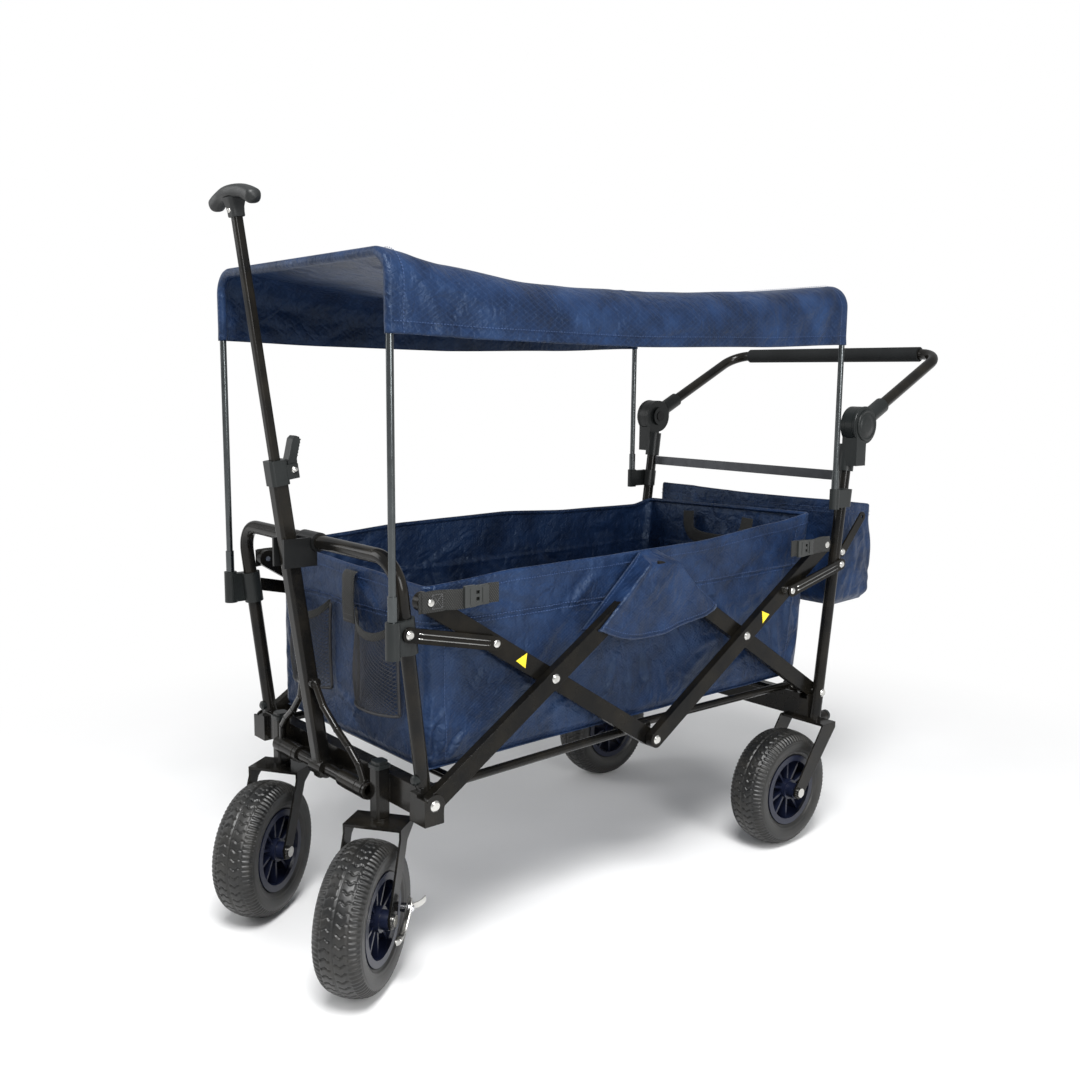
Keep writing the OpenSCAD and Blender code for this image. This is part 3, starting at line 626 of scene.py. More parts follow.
def can_section(t, s):
    """point of the sheet: t along Y from front to rear bow, s from the +X hem over the roof to the -X hem"""
    w, zt, zb = can_half(t), can_top(t), can_bottom(t)
    rc = 38 + 16 * sin(pi * t)
    y = CF + (CR - CF) * t
    h, roof = zt - rc - zb, 2 * (w - rc)
    arc = rc * pi / 2
    total = 2 * h + 2 * arc + roof
    d = s * total
    mir = d > total / 2
    if mir:
        d = total - d
    if d < h:
        x, z = w, zb + d
        n = Vector((1, 0, 0))
    elif d < h + arc:
        a = (d - h) / rc
        x, z = w - rc + rc * cos(a), zt - rc + rc * sin(a)
        n = Vector((cos(a), 0, sin(a)))
    else:
        x = w - rc - (d - h - arc)
        z = zt - 14 * sin(pi * t) * (1 - (x / (w - rc)) ** 2)
        n = Vector((0, 0, 1))
    if mir:
        x, n = -x, Vector((-n.x, n.y, n.z))
    p = Vector((x, y, z))
    # soft creases: none at the bows, most between them
    k = sin(pi * t) ** 0.5
    side = max(0.0, 1 - (d / max(1.0, h + arc)))
    amp = k * (2.2 + 2.2 * side)
    e = nz(p.x, p.y, p.z, 0.010, 3.0) * amp * 1.5
    e += creases(CAN_SIDE if x > 0 else CAN_SIDE2, y, d) * side ** 0.3 if side > 0.02 else 0.0
    e += creases(CAN_ROOF, y, x) * k * (1 - side)
    # gathers fanning out of the four bow corners
    for yc, sg in ((0.0, 1), (1.0, -1)):
        dist = abs(t - yc) * (CR - CF)
        ang = math.atan2((zt - p.z) + 18, dist + 1e-3)
        e += 2.4 * smooth01(1 - dist / 260.0) * smooth01(dist / 26.0) * sin(ang * 15.0 + (0.8 if x > 0 else 2.0)) * side
    hem = smooth01(1 - d / 16.0)
    e *= (1 - 0.55 * hem)
    e += 0.9 * hem * (1 if d < 15 else 0)
    return p + n * e, n


def make_canopy():
    NT, NS = 150, 190

    def base(u, v):
        p, n = can_section(u, v)
        return M(*p)

    # main sheet plus a rolled hem round each bow
    rows = []
    NH = 12

    def hem_row(t, a, s, sg):
        p, n = can_section(t, s)
        r = 6.8 if True else 0
        c = p - n * r
        q = c + n * (r * cos(a)) + Vector((0, sg, 0)) * (r * sin(a))
        return M(*q)
    for k in range(NH, 0, -1):
        rows.append([hem_row(0.0, rad(300) * k / NH, j / NS, -1) for j in range(NS + 1)])
    for i in range(NT + 1):
        rows.append([base(i / NT, j / NS) for j in range(NS + 1)])
    for k in range(1, NH + 1):
        rows.append([hem_row(1.0, rad(300) * k / NH, j / NS, 1) for j in range(NS + 1)])
    vs = [p for r in rows for p in r]
    w = NS + 1
    fs = [(i * w + j, i * w + j + 1, (i + 1) * w + j + 1, (i + 1) * w + j) for i in range(len(rows) - 1) for j in range(NS)]
    o = obj("canopy_sheet", vs, fs, NAVY_CAN)
    solid(o, 0.0011, 1.0)
    return o


canopy = make_canopy()
# stitched hem lines of the canopy: valances and both bow sleeves
st = []
for s0 in (0.0, 1.0):
    for dd in (15.0,):
        pts = []
        for i in range(0, 161):
            t = i / 160
            w, zt, zb = can_half(t), can_top(t), can_bottom(t)
            rc = 38 + 16 * sin(pi * t)
            total = 2 * (zt - rc - zb) + pi * rc + 2 * (w - rc)
            s = dd / total
            p, n = can_section(t, s if s0 == 0 else 1 - s)
            pts.append(M(*(p + n * 1.3)))
        st.append(stitches("st", pts, STITCH, 0.0046, 0.003, 0.0005))
for t in (0.017, 0.983):
    pts = []
    for j in range(0, 241):
        p, n = can_section(t, j / 240)
        pts.append(M(*(p + n * 1.3)))
    st.append(stitches("st", pts, STITCH, 0.0046, 0.003, 0.0005))
canopy_thread = join("canopy_stitching", st)

# ------------------------------------------------------------------ tub
TW = 200.0
TF, TRB, TRT = -405.0, 402.0, 427.0
NEAR_TOP = [(-405, 531), (-384, 532), (-249, 540), (-98, 541), (122, 544), (326, 559), (427, 570)]
FAR_TOP = [(-405, 545), (-346, 548), (-175, 558), (41, 561), (187, 554), (376, 552), (427, 562)]


TUB_R = [
    (-372, 330, 0.20, 0.98, 60, 7, 3.4), (-385, 310, -0.25, 0.97, 40, 6, -2.6), (-350, 312, 0.65, 0.76, 45, 6, 2.6), (-395, 352, 0.1, 0.99, 45, 5, 2.0),
    (-300, 430, 0.80, -0.60, 110, 9, 3.2), (-340, 470, 0.62, -0.78, 70, 7, 2.4), (-230, 380, 0.70, -0.71, 90, 8, 2.6), (-260, 500, 0.93, -0.36, 90, 8, -2.4),
    (-120, 500, 0.75, 0.66, 70, 8, 3.0), (-60, 360, 0.35, 0.94, 60, 7, 2.6), (-20, 340, 0.10, 0.99, 55, 6, 2.2), (20, 350, -0.20, 0.98, 60, 7, 2.8),
    (60, 330, -0.30, 0.95, 45, 6, 2.4), (90, 400, -0.55, 0.83, 60, 8, 2.8), (150, 505, 0.80, -0.60, 70, 8, 2.6), (190, 430, -0.62, 0.78, 90, 9, 3.2),
    (250, 490, 0.90, 0.43, 80, 8, -2.2), (300, 400, -0.40, 0.92, 80, 8, 3.0), (340, 350, -0.20, 0.98, 60, 6, 2.6), (370, 420, 0.10, 0.99, 90, 7, 3.0),
    (385, 330, 0.35, 0.94, 45, 6, 2.4), (130, 345, 0.86, 0.50, 50, 6, 1.8), (-170, 330, 0.90, 0.43, 60, 6, 2.0), (230, 330, 0.95, 0.31, 60, 6, 1.8)]
TUB_R = TUB_R + crease_set(31, 34, -390, 390, 300, 530, (50, 130, 85, 15, 165), 16, 30, 100, 3.5, 7, 1.3)
TUB_L = crease_set(37, 64, -390, 390, 300, 540, (40, 140, 75, 105, 12), 16, 50, 220, 5, 11, 2.8)
TUB_F = [(-150, 380, 0.15, 0.99, 90, 9, 2.4), (-95, 500, 0.9, 0.43, 60, 8, 2.0), (60, 500, 0.8, -0.6, 50, 8, 2.4), (160, 400, 0.2, 0.98, 110, 9, 3.0),
         (120, 320, 0.75, 0.66, 60, 8, 2.6), (185, 330, -0.1, 0.99, 50, 7, 2.2), (20, 330, 0.9, -0.42, 60, 8, 2.2)] + crease_set(41, 20, -190, 190, 300, 520, (60, 120, 88), 16, 40, 110, 4, 8, 1.5)
TUB_B = crease_set(43, 34, -190, 190, 300, 540, (60, 120, 88, 20, 160), 16, 50, 160, 5, 10, 2.2)


def tub_plan(u):
    """perimeter of the tub in plan, u 0..1 anticlockwise from the middle of the near side; gives x, y, nx, ny"""
    hw, r = TW, 16.0
    y0, y1 = TF + 2, (TRB + TRT) / 2
    Ls = [("E", 0, (y1 - r)), ("c1",), ]
    segs = []
    lengths = [y1 - r - 0.0, pi * r / 2, 2 * (hw - r), pi * r / 2, (y1 - r) - (y0 + r), pi * r / 2, 2 * (hw - r), pi * r / 2, 0.0 - (y0 + r)]
    tot = sum(lengths)
    d = u * tot
    k = 0
    while k < 8 and d > lengths[k]:
        d -= lengths[k]
        k += 1
    if k == 0:
        return hw, 0 + d, 1, 0
    if k == 1:
        a = d / r
        return hw - r + r * cos(a), y1 - r + r * sin(a), cos(a), sin(a)
    if k == 2:
        return hw - r - d, y1, 0, 1
    if k == 3:
        a = pi / 2 + d / r
        return -hw + r + r * cos(a), y1 - r + r * sin(a), cos(a), sin(a)
    if k == 4:
        return -hw, y1 - r - d, -1, 0
    if k == 5:
        a = pi + d / r
        return -hw + r + r * cos(a), y0 + r + r * sin(a), cos(a), sin(a)
    if k == 6:
        return -hw + r + d, y0, 0, -1
    if k == 7:
        a = 1.5 * pi + d / r
        return hw - r + r * cos(a), y0 + r + r * sin(a), cos(a), sin(a)
    return hw, y0 + r + d, 1, 0


def tub_top(x, y):
    s = (x / TW + 1) / 2
    s = min(1, max(0, s))
    return lerp_tab(FAR_TOP, y) * (1 - s) + lerp_tab(NEAR_TOP, y) * s


def seam_z(x, y):
    return 480.0 + 3.0 * (abs(y) / 400.0) ** 2 if abs(x) > TW - 2 else 484.0


def tub_point(u, v, inner=0.0):
    """v 0 at the floor edge, 1 at the rim"""
    x, y, nx, ny = tub_plan(u)
    # the rear wall leans back toward its rim
    rear = smooth01((y - 250) / 150.0)
    y += rear * (v - 0.5) * 24 * (1 if ny > -0.5 else 0)
    zt, zb = tub_top(x, y), 287.0
    z = zb + (zt - zb) * v
    side = abs(nx)
    front = max(0.0, -ny)
    # cloth relief
    mid = sin(pi * min(1, max(0, v))) ** 0.6
    w = 0.0
    w += nz(x * 0.6, y, z * 0.8, 0.010, 2.0) * 4.2
    w += nz(x, y, z, 0.035, 20.0) * 0.9
    if side > 0.5:
        w += 1.45 * creases(TUB_R if x > 0 else TUB_L, y, z)
    else:
        w += 1.4 * creases(TUB_F if ny < 0 else TUB_B, x, z)
    if side > 0.5:
        # drawn in toward the pivots at mid length, hanging folds from the rim
        w += 1.6 * sin(y * 0.055 + 2.0 * nz(0, y, z, 0.01, 7)) * v ** 2
        out = w * (0.35 + 0.65 * mid) - 3.0 - 3.5 * sin(pi * v) * (0.5 + 0.5 * cos(y * 0.0075))
        out = min(out, 2.6)
    elif front > 0.5:
        w += 3.0 * sin(x * 0.045 + 1.2) * v
        out = min(w * (0.35 + 0.65 * mid) * 1.1 - 1.0, 4.0)
    else:
        out = min(w * (0.35 + 0.65 * mid) - 1.0, 4.0)
    # the rim casing is doubled down to a seam, and the cloth puckers along it
    d = z - seam_z(x, y)
    out += 1.3 * smooth01((d + 1.5) / 3.0) - 0.65
    out -= 1.5 * math.exp(-(d / 2.6) ** 2)
    pk = sin((y if side > 0.5 else x) * 0.36 + 2.5 * nz(x, y, 0, 0.02, 5)) * math.exp(-abs(d) / 9.0)
    out += 0.55 * pk
    # bottom edge turns in under the floor board
    k = smooth01(1 - v / 0.05)
    out -= 5.0 * k
    return Vector((x + nx * (out - inner), y + ny * (out - inner), z)), Vector((nx, ny, 0))


def make_tub():
    NU, NV = 620, 104

    def wall(u, v):
        p, n = tub_point(u, v)
        return M(*p)
    rows = []
    # rim hem: rolled outward and down over 5 mm radius
    vs = []
    for j in range(NV + 1):
        rows.append([wall(i / NU, j / NV) for i in range(NU)])
    for k in range(1, 9):
        a = rad(285) * k / 8
        r = []
        for i in range(NU):
            p, n = tub_point(i / NU, 1.0)
            c = p - n * 3.6
            q = c + n * (3.6 * cos(a)) + Vector((0, 0, 3.6 * sin(a)))
            r.append(M(*q))
        rows.append(r)
    vs = [p for r in rows for p in r]
    fs = []
    for j in range(len(rows) - 1):
        for i in range(NU):
            a, b = j * NU + i, j * NU + (i + 1) % NU
            fs.append((a, b, b + NU, a + NU))
    # floor: gently quilted board lining
    base = len(vs)
    FX, FY = 30, 60
    for iy in range(FY + 1):
        for ix in range(FX + 1):
            x = -TW + 6 + (2 * TW - 12) * ix / FX
            y = TF + 8 + (TRB - TF - 6) * iy / FY
            z = 287.6 + 0.8 * nz(x, y, 0, 0.02, 4)
            vs.append(M(x, y, z))
    for iy in range(FY):
        for ix in range(FX):
            a = base + iy * (FX + 1) + ix
            fs.append((a, a + 1, a + FX + 2, a + FX + 1))
    # the floor joins the wall's lowest row by an under-turn
    o = obj("tub_cloth", vs, fs, NAVY)
    solid(o, 0.0016, -1.0)
    return o


tub = make_tub()


def rim_line(u0, u1, n, v, off=1.4):
    pts = []
    for i in range(n + 1):
        p, nn = tub_point((u0 + (u1 - u0) * i / n) % 1.0, v)
        pts.append(M(*(p + nn * off)))
    return pts


def seam_line(off, n=640):
    pts = []
    for i in range(n + 1):
        u = (i / n) % 1.0
        x, y, nx, ny = tub_plan(u)
        v = (seam_z(x, y) + off - 287.0) / (tub_top(x, y) - 287.0)
        p, nn = tub_point(u, v)
        pts.append(M(*(p + nn * 1.4)))
    return pts


tst = [stitches("st", rim_line(0.0, 1.0, 500, 0.955), STITCH, 0.0046, 0.003, 0.0005),
       stitches("st", seam_line(3.2), STITCH, 0.0050, 0.0033, 0.0006),
       stitches("st", seam_line(-3.6), STITCH, 0.0050, 0.0033, 0.0006)]
for yy in (-372.0, 372.0):
    for sx in (1, -1):
        pts = []
        u = None
        for j in range(0, 81):
            v = 0.03 + 0.9 * j / 80
            # find the wall point at this y by search along the side
            best = None
            if u is None:
                for q in range(0, 1200):
                    x, y, nx, ny = tub_plan(q / 1200)
                    if abs(nx - sx) < 1e-6:
                        dd = abs(y - yy)
                        if best is None or dd < best[0]:
                            best = (dd, q / 1200)
                u = best[1]
            p, nn = tub_point(u, v)
            pts.append(M(*(p + nn * 1.4)))
        tst.append(stitches("st", pts, STITCH, 0.0046, 0.003, 0.0005))
tub_thread = join("tub_stitching", tst)


# ------------------------------------------------------------------ side flaps over the scissor tops
def make_flap(sx):
    """cloth flap sewn to the tub rim and down its two slanting edges, tented over the top centre pivot and both upper bars"""
    top = [(-14, 545.0), (-2, 546.5), (8, 547), (20, 546), (32, 541)]
    bot = [(-131, 441), (-126, 446), (-108, 438.5), (-87, 431), (-66, 426.5), (-45, 424), (-22, 423.6), (0, 425), (27, 429.5), (54, 433.5), (80, 437.5), (98, 440.5), (116, 444), (140, 444), (166, 440.5)]
    NU, NV = 84, 44
    T = catmull([Vector((a, b, 0)) for a, b in top], NU)
    Bt = catmull([Vector((a, b, 0)) for a, b in bot], NU)
    cs = crease_set(71 if sx > 0 else 73, 9, -90, 90, 440, 530, (62, 118, 35, 145), 16, 40, 90, 4, 8, 1.3)

    def prof(u, v):
        # from the tub wall, over the outer edge of the front bar, across, and back to the wall past the rear bar
        l = smooth01(u / 0.075)
        r = smooth01((1 - u) / 0.16)
        return l * (0.80 + 0.20 * r) * (1 if u < 0.5 else 1) * r ** 0.55 - 0.07 * smooth01((u - 0.10) / 0.05) * smooth01((0.24 - u) / 0.08) * sin(pi * min(1, v * 1.2))

    def g(u, v, lift=0.0):
        i = min(NU, max(0, round(u * NU)))
        a, b = T[i], Bt[i]
        w = v
        y = a.x + (b.x - a.x) * w
        z = a.y + (b.y - a.y) * w
        # the free lower edge sags between the two bars
        rise = smooth01(v / 0.16) * 0.92 + 0.08 * v
        x = 204.2 + 37.6 * prof(u, v) * rise
        x += creases(cs, y, z) * prof(u, v) * sin(pi * min(1, v * 0.9 + 0.05))
        x += 1.1 * nz(0, y, z, 0.03, 8.0 + sx) * prof(u, v) * rise
        # a light crumple along the free edge
        x += 1.6 * sin(u * 26 + 1.0) * smooth01((v - 0.6) / 0.4) * prof(u, v)
        return M(sx * (max(x, 203.6) + lift), y, z)
    o = grid("flap_right" if sx > 0 else "flap_left", g, NU, NV, NAVY)
    solid(o, 0.0013, 1.0 if sx > 0 else -1.0)
    L = []
    for vv in (0.952,):
        pts = [g(i / NU, vv, 1.6) for i in range(2, NU - 1)]
        L.append(stitches("st", pts, STITCH, 0.0046, 0.003, 0.0005))
    for uu in (0.018, 0.985):
        pts = [g(uu, j / 40, 1.7) for j in range(1, 41)]
        L.append(stitches("st", pts, STITCH, 0.0046, 0.003, 0.0005))
    # bound edges
    L.append(tube("b", [g(i / NU, 1.0) for i in range(NU + 1)], 0.0019, NAVY_BIND, 8))
    L.append(tube("b", [g(0.0, j / 40, 0.6) for j in range(41)], 0.0012, NAVY_BIND, 6))
    L.append(tube("b", [g(1.0, j / 40, 0.6) for j in range(41)], 0.0012, NAVY_BIND, 6))
    return o, join("flap_trim_right" if sx > 0 else "flap_trim_left", L)


flaps, flap_trims = [], []
for sx in (1, -1):
    a, b = make_flap(sx)
    flaps.append(a)
    flap_trims.append(b)


# ------------------------------------------------------------------ straps and buckles on the tub sides
def boxstitch(c, w, h, x, sx):
    L = []
    y0, y1, z0, z1 = c[0] - w / 2, c[0] + w / 2, c[1] - h / 2, c[1] + h / 2
    for a, b in (((y0, z0), (y1, z0)), ((y1, z0), (y1, z1)), ((y1, z1), (y0, z1)), ((y0, z1), (y0, z0)), ((y0, z0), (y1, z1)), ((y0, z1), (y1, z0))):
        n = 12
        pts = [M(sx * x, a[0] + (b[0] - a[0]) * i / n, a[1] + (b[1] - a[1]) * i / n) for i in range(n + 1)]
        L.append(stitches("bs", pts, STITCHB, 0.0026, 0.002, 0.0004))
    return [o for o in L if o]


def buckle(y0, y1, z, x, sx):
    """side-release buckle: body with two windows, prongs and a tongue"""
    parts = []
    yc = (y0 + y1) / 2
    h = 14.5

    def slab(ya, yb, za, zb, xa, xb, b=0.9, name="bk"):
        vs = [M(sx * xx, yy, zz) for xx in (xa, xb) for yy in (ya, yb) for zz in (za, zb)]
        fs = [(0, 1, 3, 2), (4, 6, 7, 5), (0, 4, 5, 1), (2, 3, 7, 6), (0, 2, 6, 4), (1, 5, 7, 3)]
        o = obj(name, vs, fs, BUCKLE, False)
        bevel(o, b / 1000, 3)
        return o
    L = y1 - y0
    parts.append(slab(y0, y0 + L * 0.46, z - h, z + h, x, x + 5.6))
    parts.append(slab(y0 + L * 0.20, y0 + L * 0.26, z - h * 0.75, z + h * 0.75, x + 5.6, x + 6.3, 0.3))
    parts.append(slab(y0 + L * 0.46, y0 + L * 0.62, z - h * 0.95, z - h * 0.45, x + 1.0, x + 4.8))
    parts.append(slab(y0 + L * 0.46, y0 + L * 0.62, z + h * 0.45, z + h * 0.95, x + 1.0, x + 4.8))
    parts.append(slab(y0 + L * 0.46, y0 + L * 0.66, z - h * 0.16, z + h * 0.16, x + 1.2, x + 4.4))
    parts.append(slab(y0 + L * 0.60, y1, z - h * 0.92, z + h * 0.92, x + 0.3, x + 5.0))
    parts.append(slab(y0 + L * 0.72, y0 + L * 0.78, z - h * 0.7, z + h * 0.7, x + 5.0, x + 6.0, 0.3))
    return parts


straps, strap_trim = [], []
for sx in (1, -1):
    tag = "right" if sx > 0 else "left"
    # front: rivet end at the upper front pivot, adjuster and buckle, free end
    x = 224.6
    P = [M(sx * (x + 0.4 * sin(i)), -431 + 129 * i / 16, 521 + 1.4 * sin(i * 0.55)) for i in range(17)]
    a = strip("s", P, (0, 0, 1), 0.027, 0.0015, WEB)
    P2 = [M(sx * (x + 1.9), -427 + 34 * i / 6, 521.5) for i in range(7)]
    b = strip("s", P2, (0, 0, 1), 0.027, 0.0014, WEB)
    o = join("front_strap_" + tag, [a, b])
    straps.append(o)
    # rear
    xr = 238.0
    P = [M(sx * (xr + 0.3 * sin(i * 1.3)), 424 - 108 * i / 14, 522 + 1.0 * sin(i * 0.6)) for i in range(15)]
    a = strip("s", P, (0, 0, 1), 0.027, 0.0015, WEB)
    o = join("rear_strap_" + tag, [a])
    straps.append(o)
    tr = boxstitch((-404, 521.5), 16, 18, x + 2.9, sx)
    strap_trim.append(join("strap_thread_" + tag, tr))
    straps.append(join("front_buckle_" + tag, buckle(-362, -322, 522, x + 0.3, sx)))
    straps.append(join("rear_buckle_" + tag, buckle(330, 372, 522, xr - 0.4, sx)))


# ------------------------------------------------------------------ tyres with tread
TYRE_PTS = [(57.4, -25.0), (60.4, -26.2), (63.4, -28.6), (67.2, -30.9), (72.0, -32.3), (78.5, -33.3), (84.5, -33.2), (88.8, -31.7), (92.2, -29.1),
            (95.0, -25.4), (96.9, -21.6), (98.3, -17.2), (99.2, -12.8), (99.9, -8.4), (100.25, -4.0), (100.35, 0.0)]
TYRE_PTS = TYRE_PTS + [(r, -h) for r, h in reversed(TYRE_PTS[:-1])]
_tp = catmull([Vector((r, h, 0)) for r, h in TYRE_PTS], 600)
_len = [0.0]
for _a, _b in zip(_tp, _tp[1:]):
    _len.append(_len[-1] + (_b - _a).length)
NPROF = 104
TYRE_PROF = []
_k = 0
for _i in range(NPROF + 1):
    _d = _len[-1] * _i / NPROF
    while _k < len(_len) - 2 and _len[_k + 1] < _d:
        _k += 1
    _t = (_d - _len[_k]) / max(1e-9, _len[_k + 1] - _len[_k])
    _p = _tp[_k].lerp(_tp[_k + 1], min(1, max(0, _t)))
    TYRE_PROF.append((_p.x, _p.y))


def make_tyre(name, centre, axis, phase):
    """air tyre: wavy cuts in two crown bands, a centre ring, ribbed shoulders and rings on the sidewalls"""
    ax = Vector(axis).normalized()
    u = Vector((0, 0, 1))
    w = ax.cross(u).normalized()
    prof = TYRE_PROF
    NA = 672

    def f(i, j):
        q = i * 2 * pi
        r, h = prof[round(j * (len(prof) - 1))]
        ah = abs(h)
        d = 0.0
        # wavy cuts across the two crown bands, every 13 mm
        if 2.2 < ah < 18.5 and r > 94:
            wave = 0.15 * sin((ah - 2) * 2 * pi / 11.0) * (1 if h > 0 else -1)
            a = i * 48 + phase + wave + (0.5 if h < 0 else 0)
            fr = abs((a - math.floor(a)) - 0.5) * 13.1
            d = max(d, 1.9 * smooth01(1.9 - fr / 0.95) * smooth01((ah - 2.2) / 1.0) * smooth01((18.8 - ah) / 1.0))
        # rings round the crown
        for g0, wd, dp in ((0.0, 1.1, 1.7), (19.4, 0.9, 1.5)):
            dd = abs(ah - g0)
            if r > 92 and dd < 2.4:
                d = max(d, dp * smooth01(1.9 - dd / wd))
        # ribbed shoulders
        if ah > 20.5 and 86.0 < r < 98.5:
            a = i * 84 + phase
            fr = abs((a - math.floor(a)) - 0.5) * 2
            d = max(d, 1.7 * smooth01((fr - 0.30) / 0.30) * smooth01((r - 86.0) / 2.5) * smooth01((98.6 - r) / 1.2))
        for rg in (84.2, 69.5, 64.5):
            if abs(r - rg) < 1.4 and ah > 26:
                d -= 0.6 * smooth01(1.4 - abs(r - rg) / 0.7)
        k = smooth01((r - 84) / 12.0)
        rr = r - d * k
        hh = h - math.copysign(d * (1 - k), h)
        return Vector(centre) + (ax * hh + (u * cos(q) + w * sin(q)) * rr) / 1000.0
    return grid(name, f, NA, len(prof) - 1, TYRE, cu=True)


def yawed(s, yaw):
    y = rad(yaw)
    c = M(s * 139.3 + 59.7 * sin(y), -438 - 59.7 * cos(y), 100.4)
    return c, Vector((cos(y), sin(y), 0))


TY = []
for tag, s, yaw in (("right", 1, 35.2), ("left", -1, 32.6)):
    c, ax = yawed(s, yaw)
    t = make_tyre("front_tread_" + tag, c, ax, 0.3)
    TY.append((t, "front_wheel_" + tag, "front_tyre_" + tag))
    c = M(s * 222.3, 326.7, 100.4)
    t = make_tyre("rear_tread_" + tag, c, Vector((1, 0, 0)), 0.1)
    TY.append((t, "rear_wheel_" + tag, "rear_tyre_" + tag))


# ------------------------------------------------------------------ rear basket
BSK_S = crease_set(53, 16, 476, 590, 405, 580, (80, 100, 60, 125), 14, 50, 130, 5, 10, 2.6)
BSK_B = crease_set(59, 46, -210, 210, 405, 580, (70, 110, 88, 20, 160), 16, 50, 150, 5, 10, 2.6)


def basket_point(u, v):
    """open soft bag behind the rear legs; u round its four sides, v 0 bottom to 1 rim"""
    hw, y0, y1, r = 218.0, 473.0, 588.0, 14.0
    ym = (y0 + y1) / 2
    lens = [(y1 - r) - (y0 + r), pi * r / 2, 2 * (hw - r), pi * r / 2] * 2
    tot = sum(lens)
    d = u * tot
    k = 0
    while k < 7 and d > lens[k]:
        d -= lens[k]
        k += 1
    if k == 0:
        x, y, nx, ny = hw, y0 + r + d, 1, 0
    elif k == 1:
        a = d / r
        x, y, nx, ny = hw - r + r * cos(a), y1 - r + r * sin(a), cos(a), sin(a)
    elif k == 2:
        x, y, nx, ny = hw - r - d, y1, 0, 1
    elif k == 3:
        a = pi / 2 + d / r
        x, y, nx, ny = -hw + r + r * cos(a), y1 - r + r * sin(a), cos(a), sin(a)
    elif k == 4:
        x, y, nx, ny = -hw, y1 - r - d, -1, 0
    elif k == 5:
        a = pi + d / r
        x, y, nx, ny = -hw + r + r * cos(a), y0 + r + r * sin(a), cos(a), sin(a)
    elif k == 6:
        x, y, nx, ny = -hw + r + d, y0, 0, -1
    else:
        a = 1.5 * pi + d / r
        x, y, nx, ny = hw - r + r * cos(a), y0 + r + r * sin(a), cos(a), sin(a)
    sy = (y - y0) / (y1 - y0)
    zt = 590 - 14 * sy - 3 * cos(x / hw * pi / 2)
    zb = 400 + 4 * sy
    # bottom bulges back and down
    z = zb + (zt - zb) * v
    y += 10 * sin(pi * min(1, v * 1.1 + 0.05)) * sy - 4 * (1 - v) * sy
    w = nz(x * 0.7, y, z, 0.014, 31.0) * 3.6
    w += creases(BSK_S, y, z) if abs(nx) > 0.5 else creases(BSK_B, x, z)
    w += 1.8 * sin(x * 0.05 + 1.0) * (1 if abs(ny) > 0.5 else 0) * v
    mid = sin(pi * min(1, max(0, v))) ** 0.6
    out = w * (0.3 + 0.7 * mid) + 3.0 * sin(pi * v) - 2.5
    out = min(out, 3.2)
    out -= 9 * smooth01(1 - v / 0.09) ** 2
    return Vector((x + nx * out, y + ny * out, z)), Vector((nx, ny, 0))


def make_basket():
    NU, NV = 300, 44
    rows = []
    for j in range(NV + 1):
        rows.append([M(*basket_point(i / NU, j / NV)[0]) for i in range(NU)])
    for k in range(1, 8):
        a = rad(280) * k / 7
        r = []
        for i in range(NU):
            p, n = basket_point(i / NU, 1.0)
            c = p - n * 3.4
            r.append(M(*(c + n * (3.4 * cos(a)) + Vector((0, 0, 3.4 * sin(a))))))
        rows.append(r)
    vs = [p for r in rows for p in r]
    fs = []
    for j in range(len(rows) - 1):
        for i in range(NU):
            a, b = j * NU + i, j * NU + (i + 1) % NU
            fs.append((a, b, b + NU, a + NU))
    # base: shrink the lowest ring in steps
    prev = list(range(NU))
    c0 = M(0, 530, 399)
    for s_ in (0.85, 0.6, 0.3):
        base = len(vs)
        for i in range(NU):
            p = vs[i]
            q = Vector((c0.x + (p.x - c0.x) * s_, c0.y + (p.y - c0.y) * s_, p.z - 0.0015))
            vs.append(q)
        cur = list(range(base, base + NU))
        for i in range(NU):
            fs.append((cur[i], cur[(i + 1) % NU], prev[(i + 1) % NU], prev[i]))
        prev = cur
    fs.append(tuple(reversed(prev)))
    o = obj("basket_cloth", vs, fs, NAVY)
    solid(o, 0.0016, -1.0)
    return o


basket = make_basket()
bs = []
for v in (0.90, 0.94):
    pts = []
    for i in range(301):
        p, n = basket_point((i / 300) % 1.0, v)
        pts.append(M(*(p + n * 1.2)))
    bs.append(stitches("st", pts, STITCH, 0.0046, 0.003, 0.0005))
basket_thread = join("basket_stitching", bs)


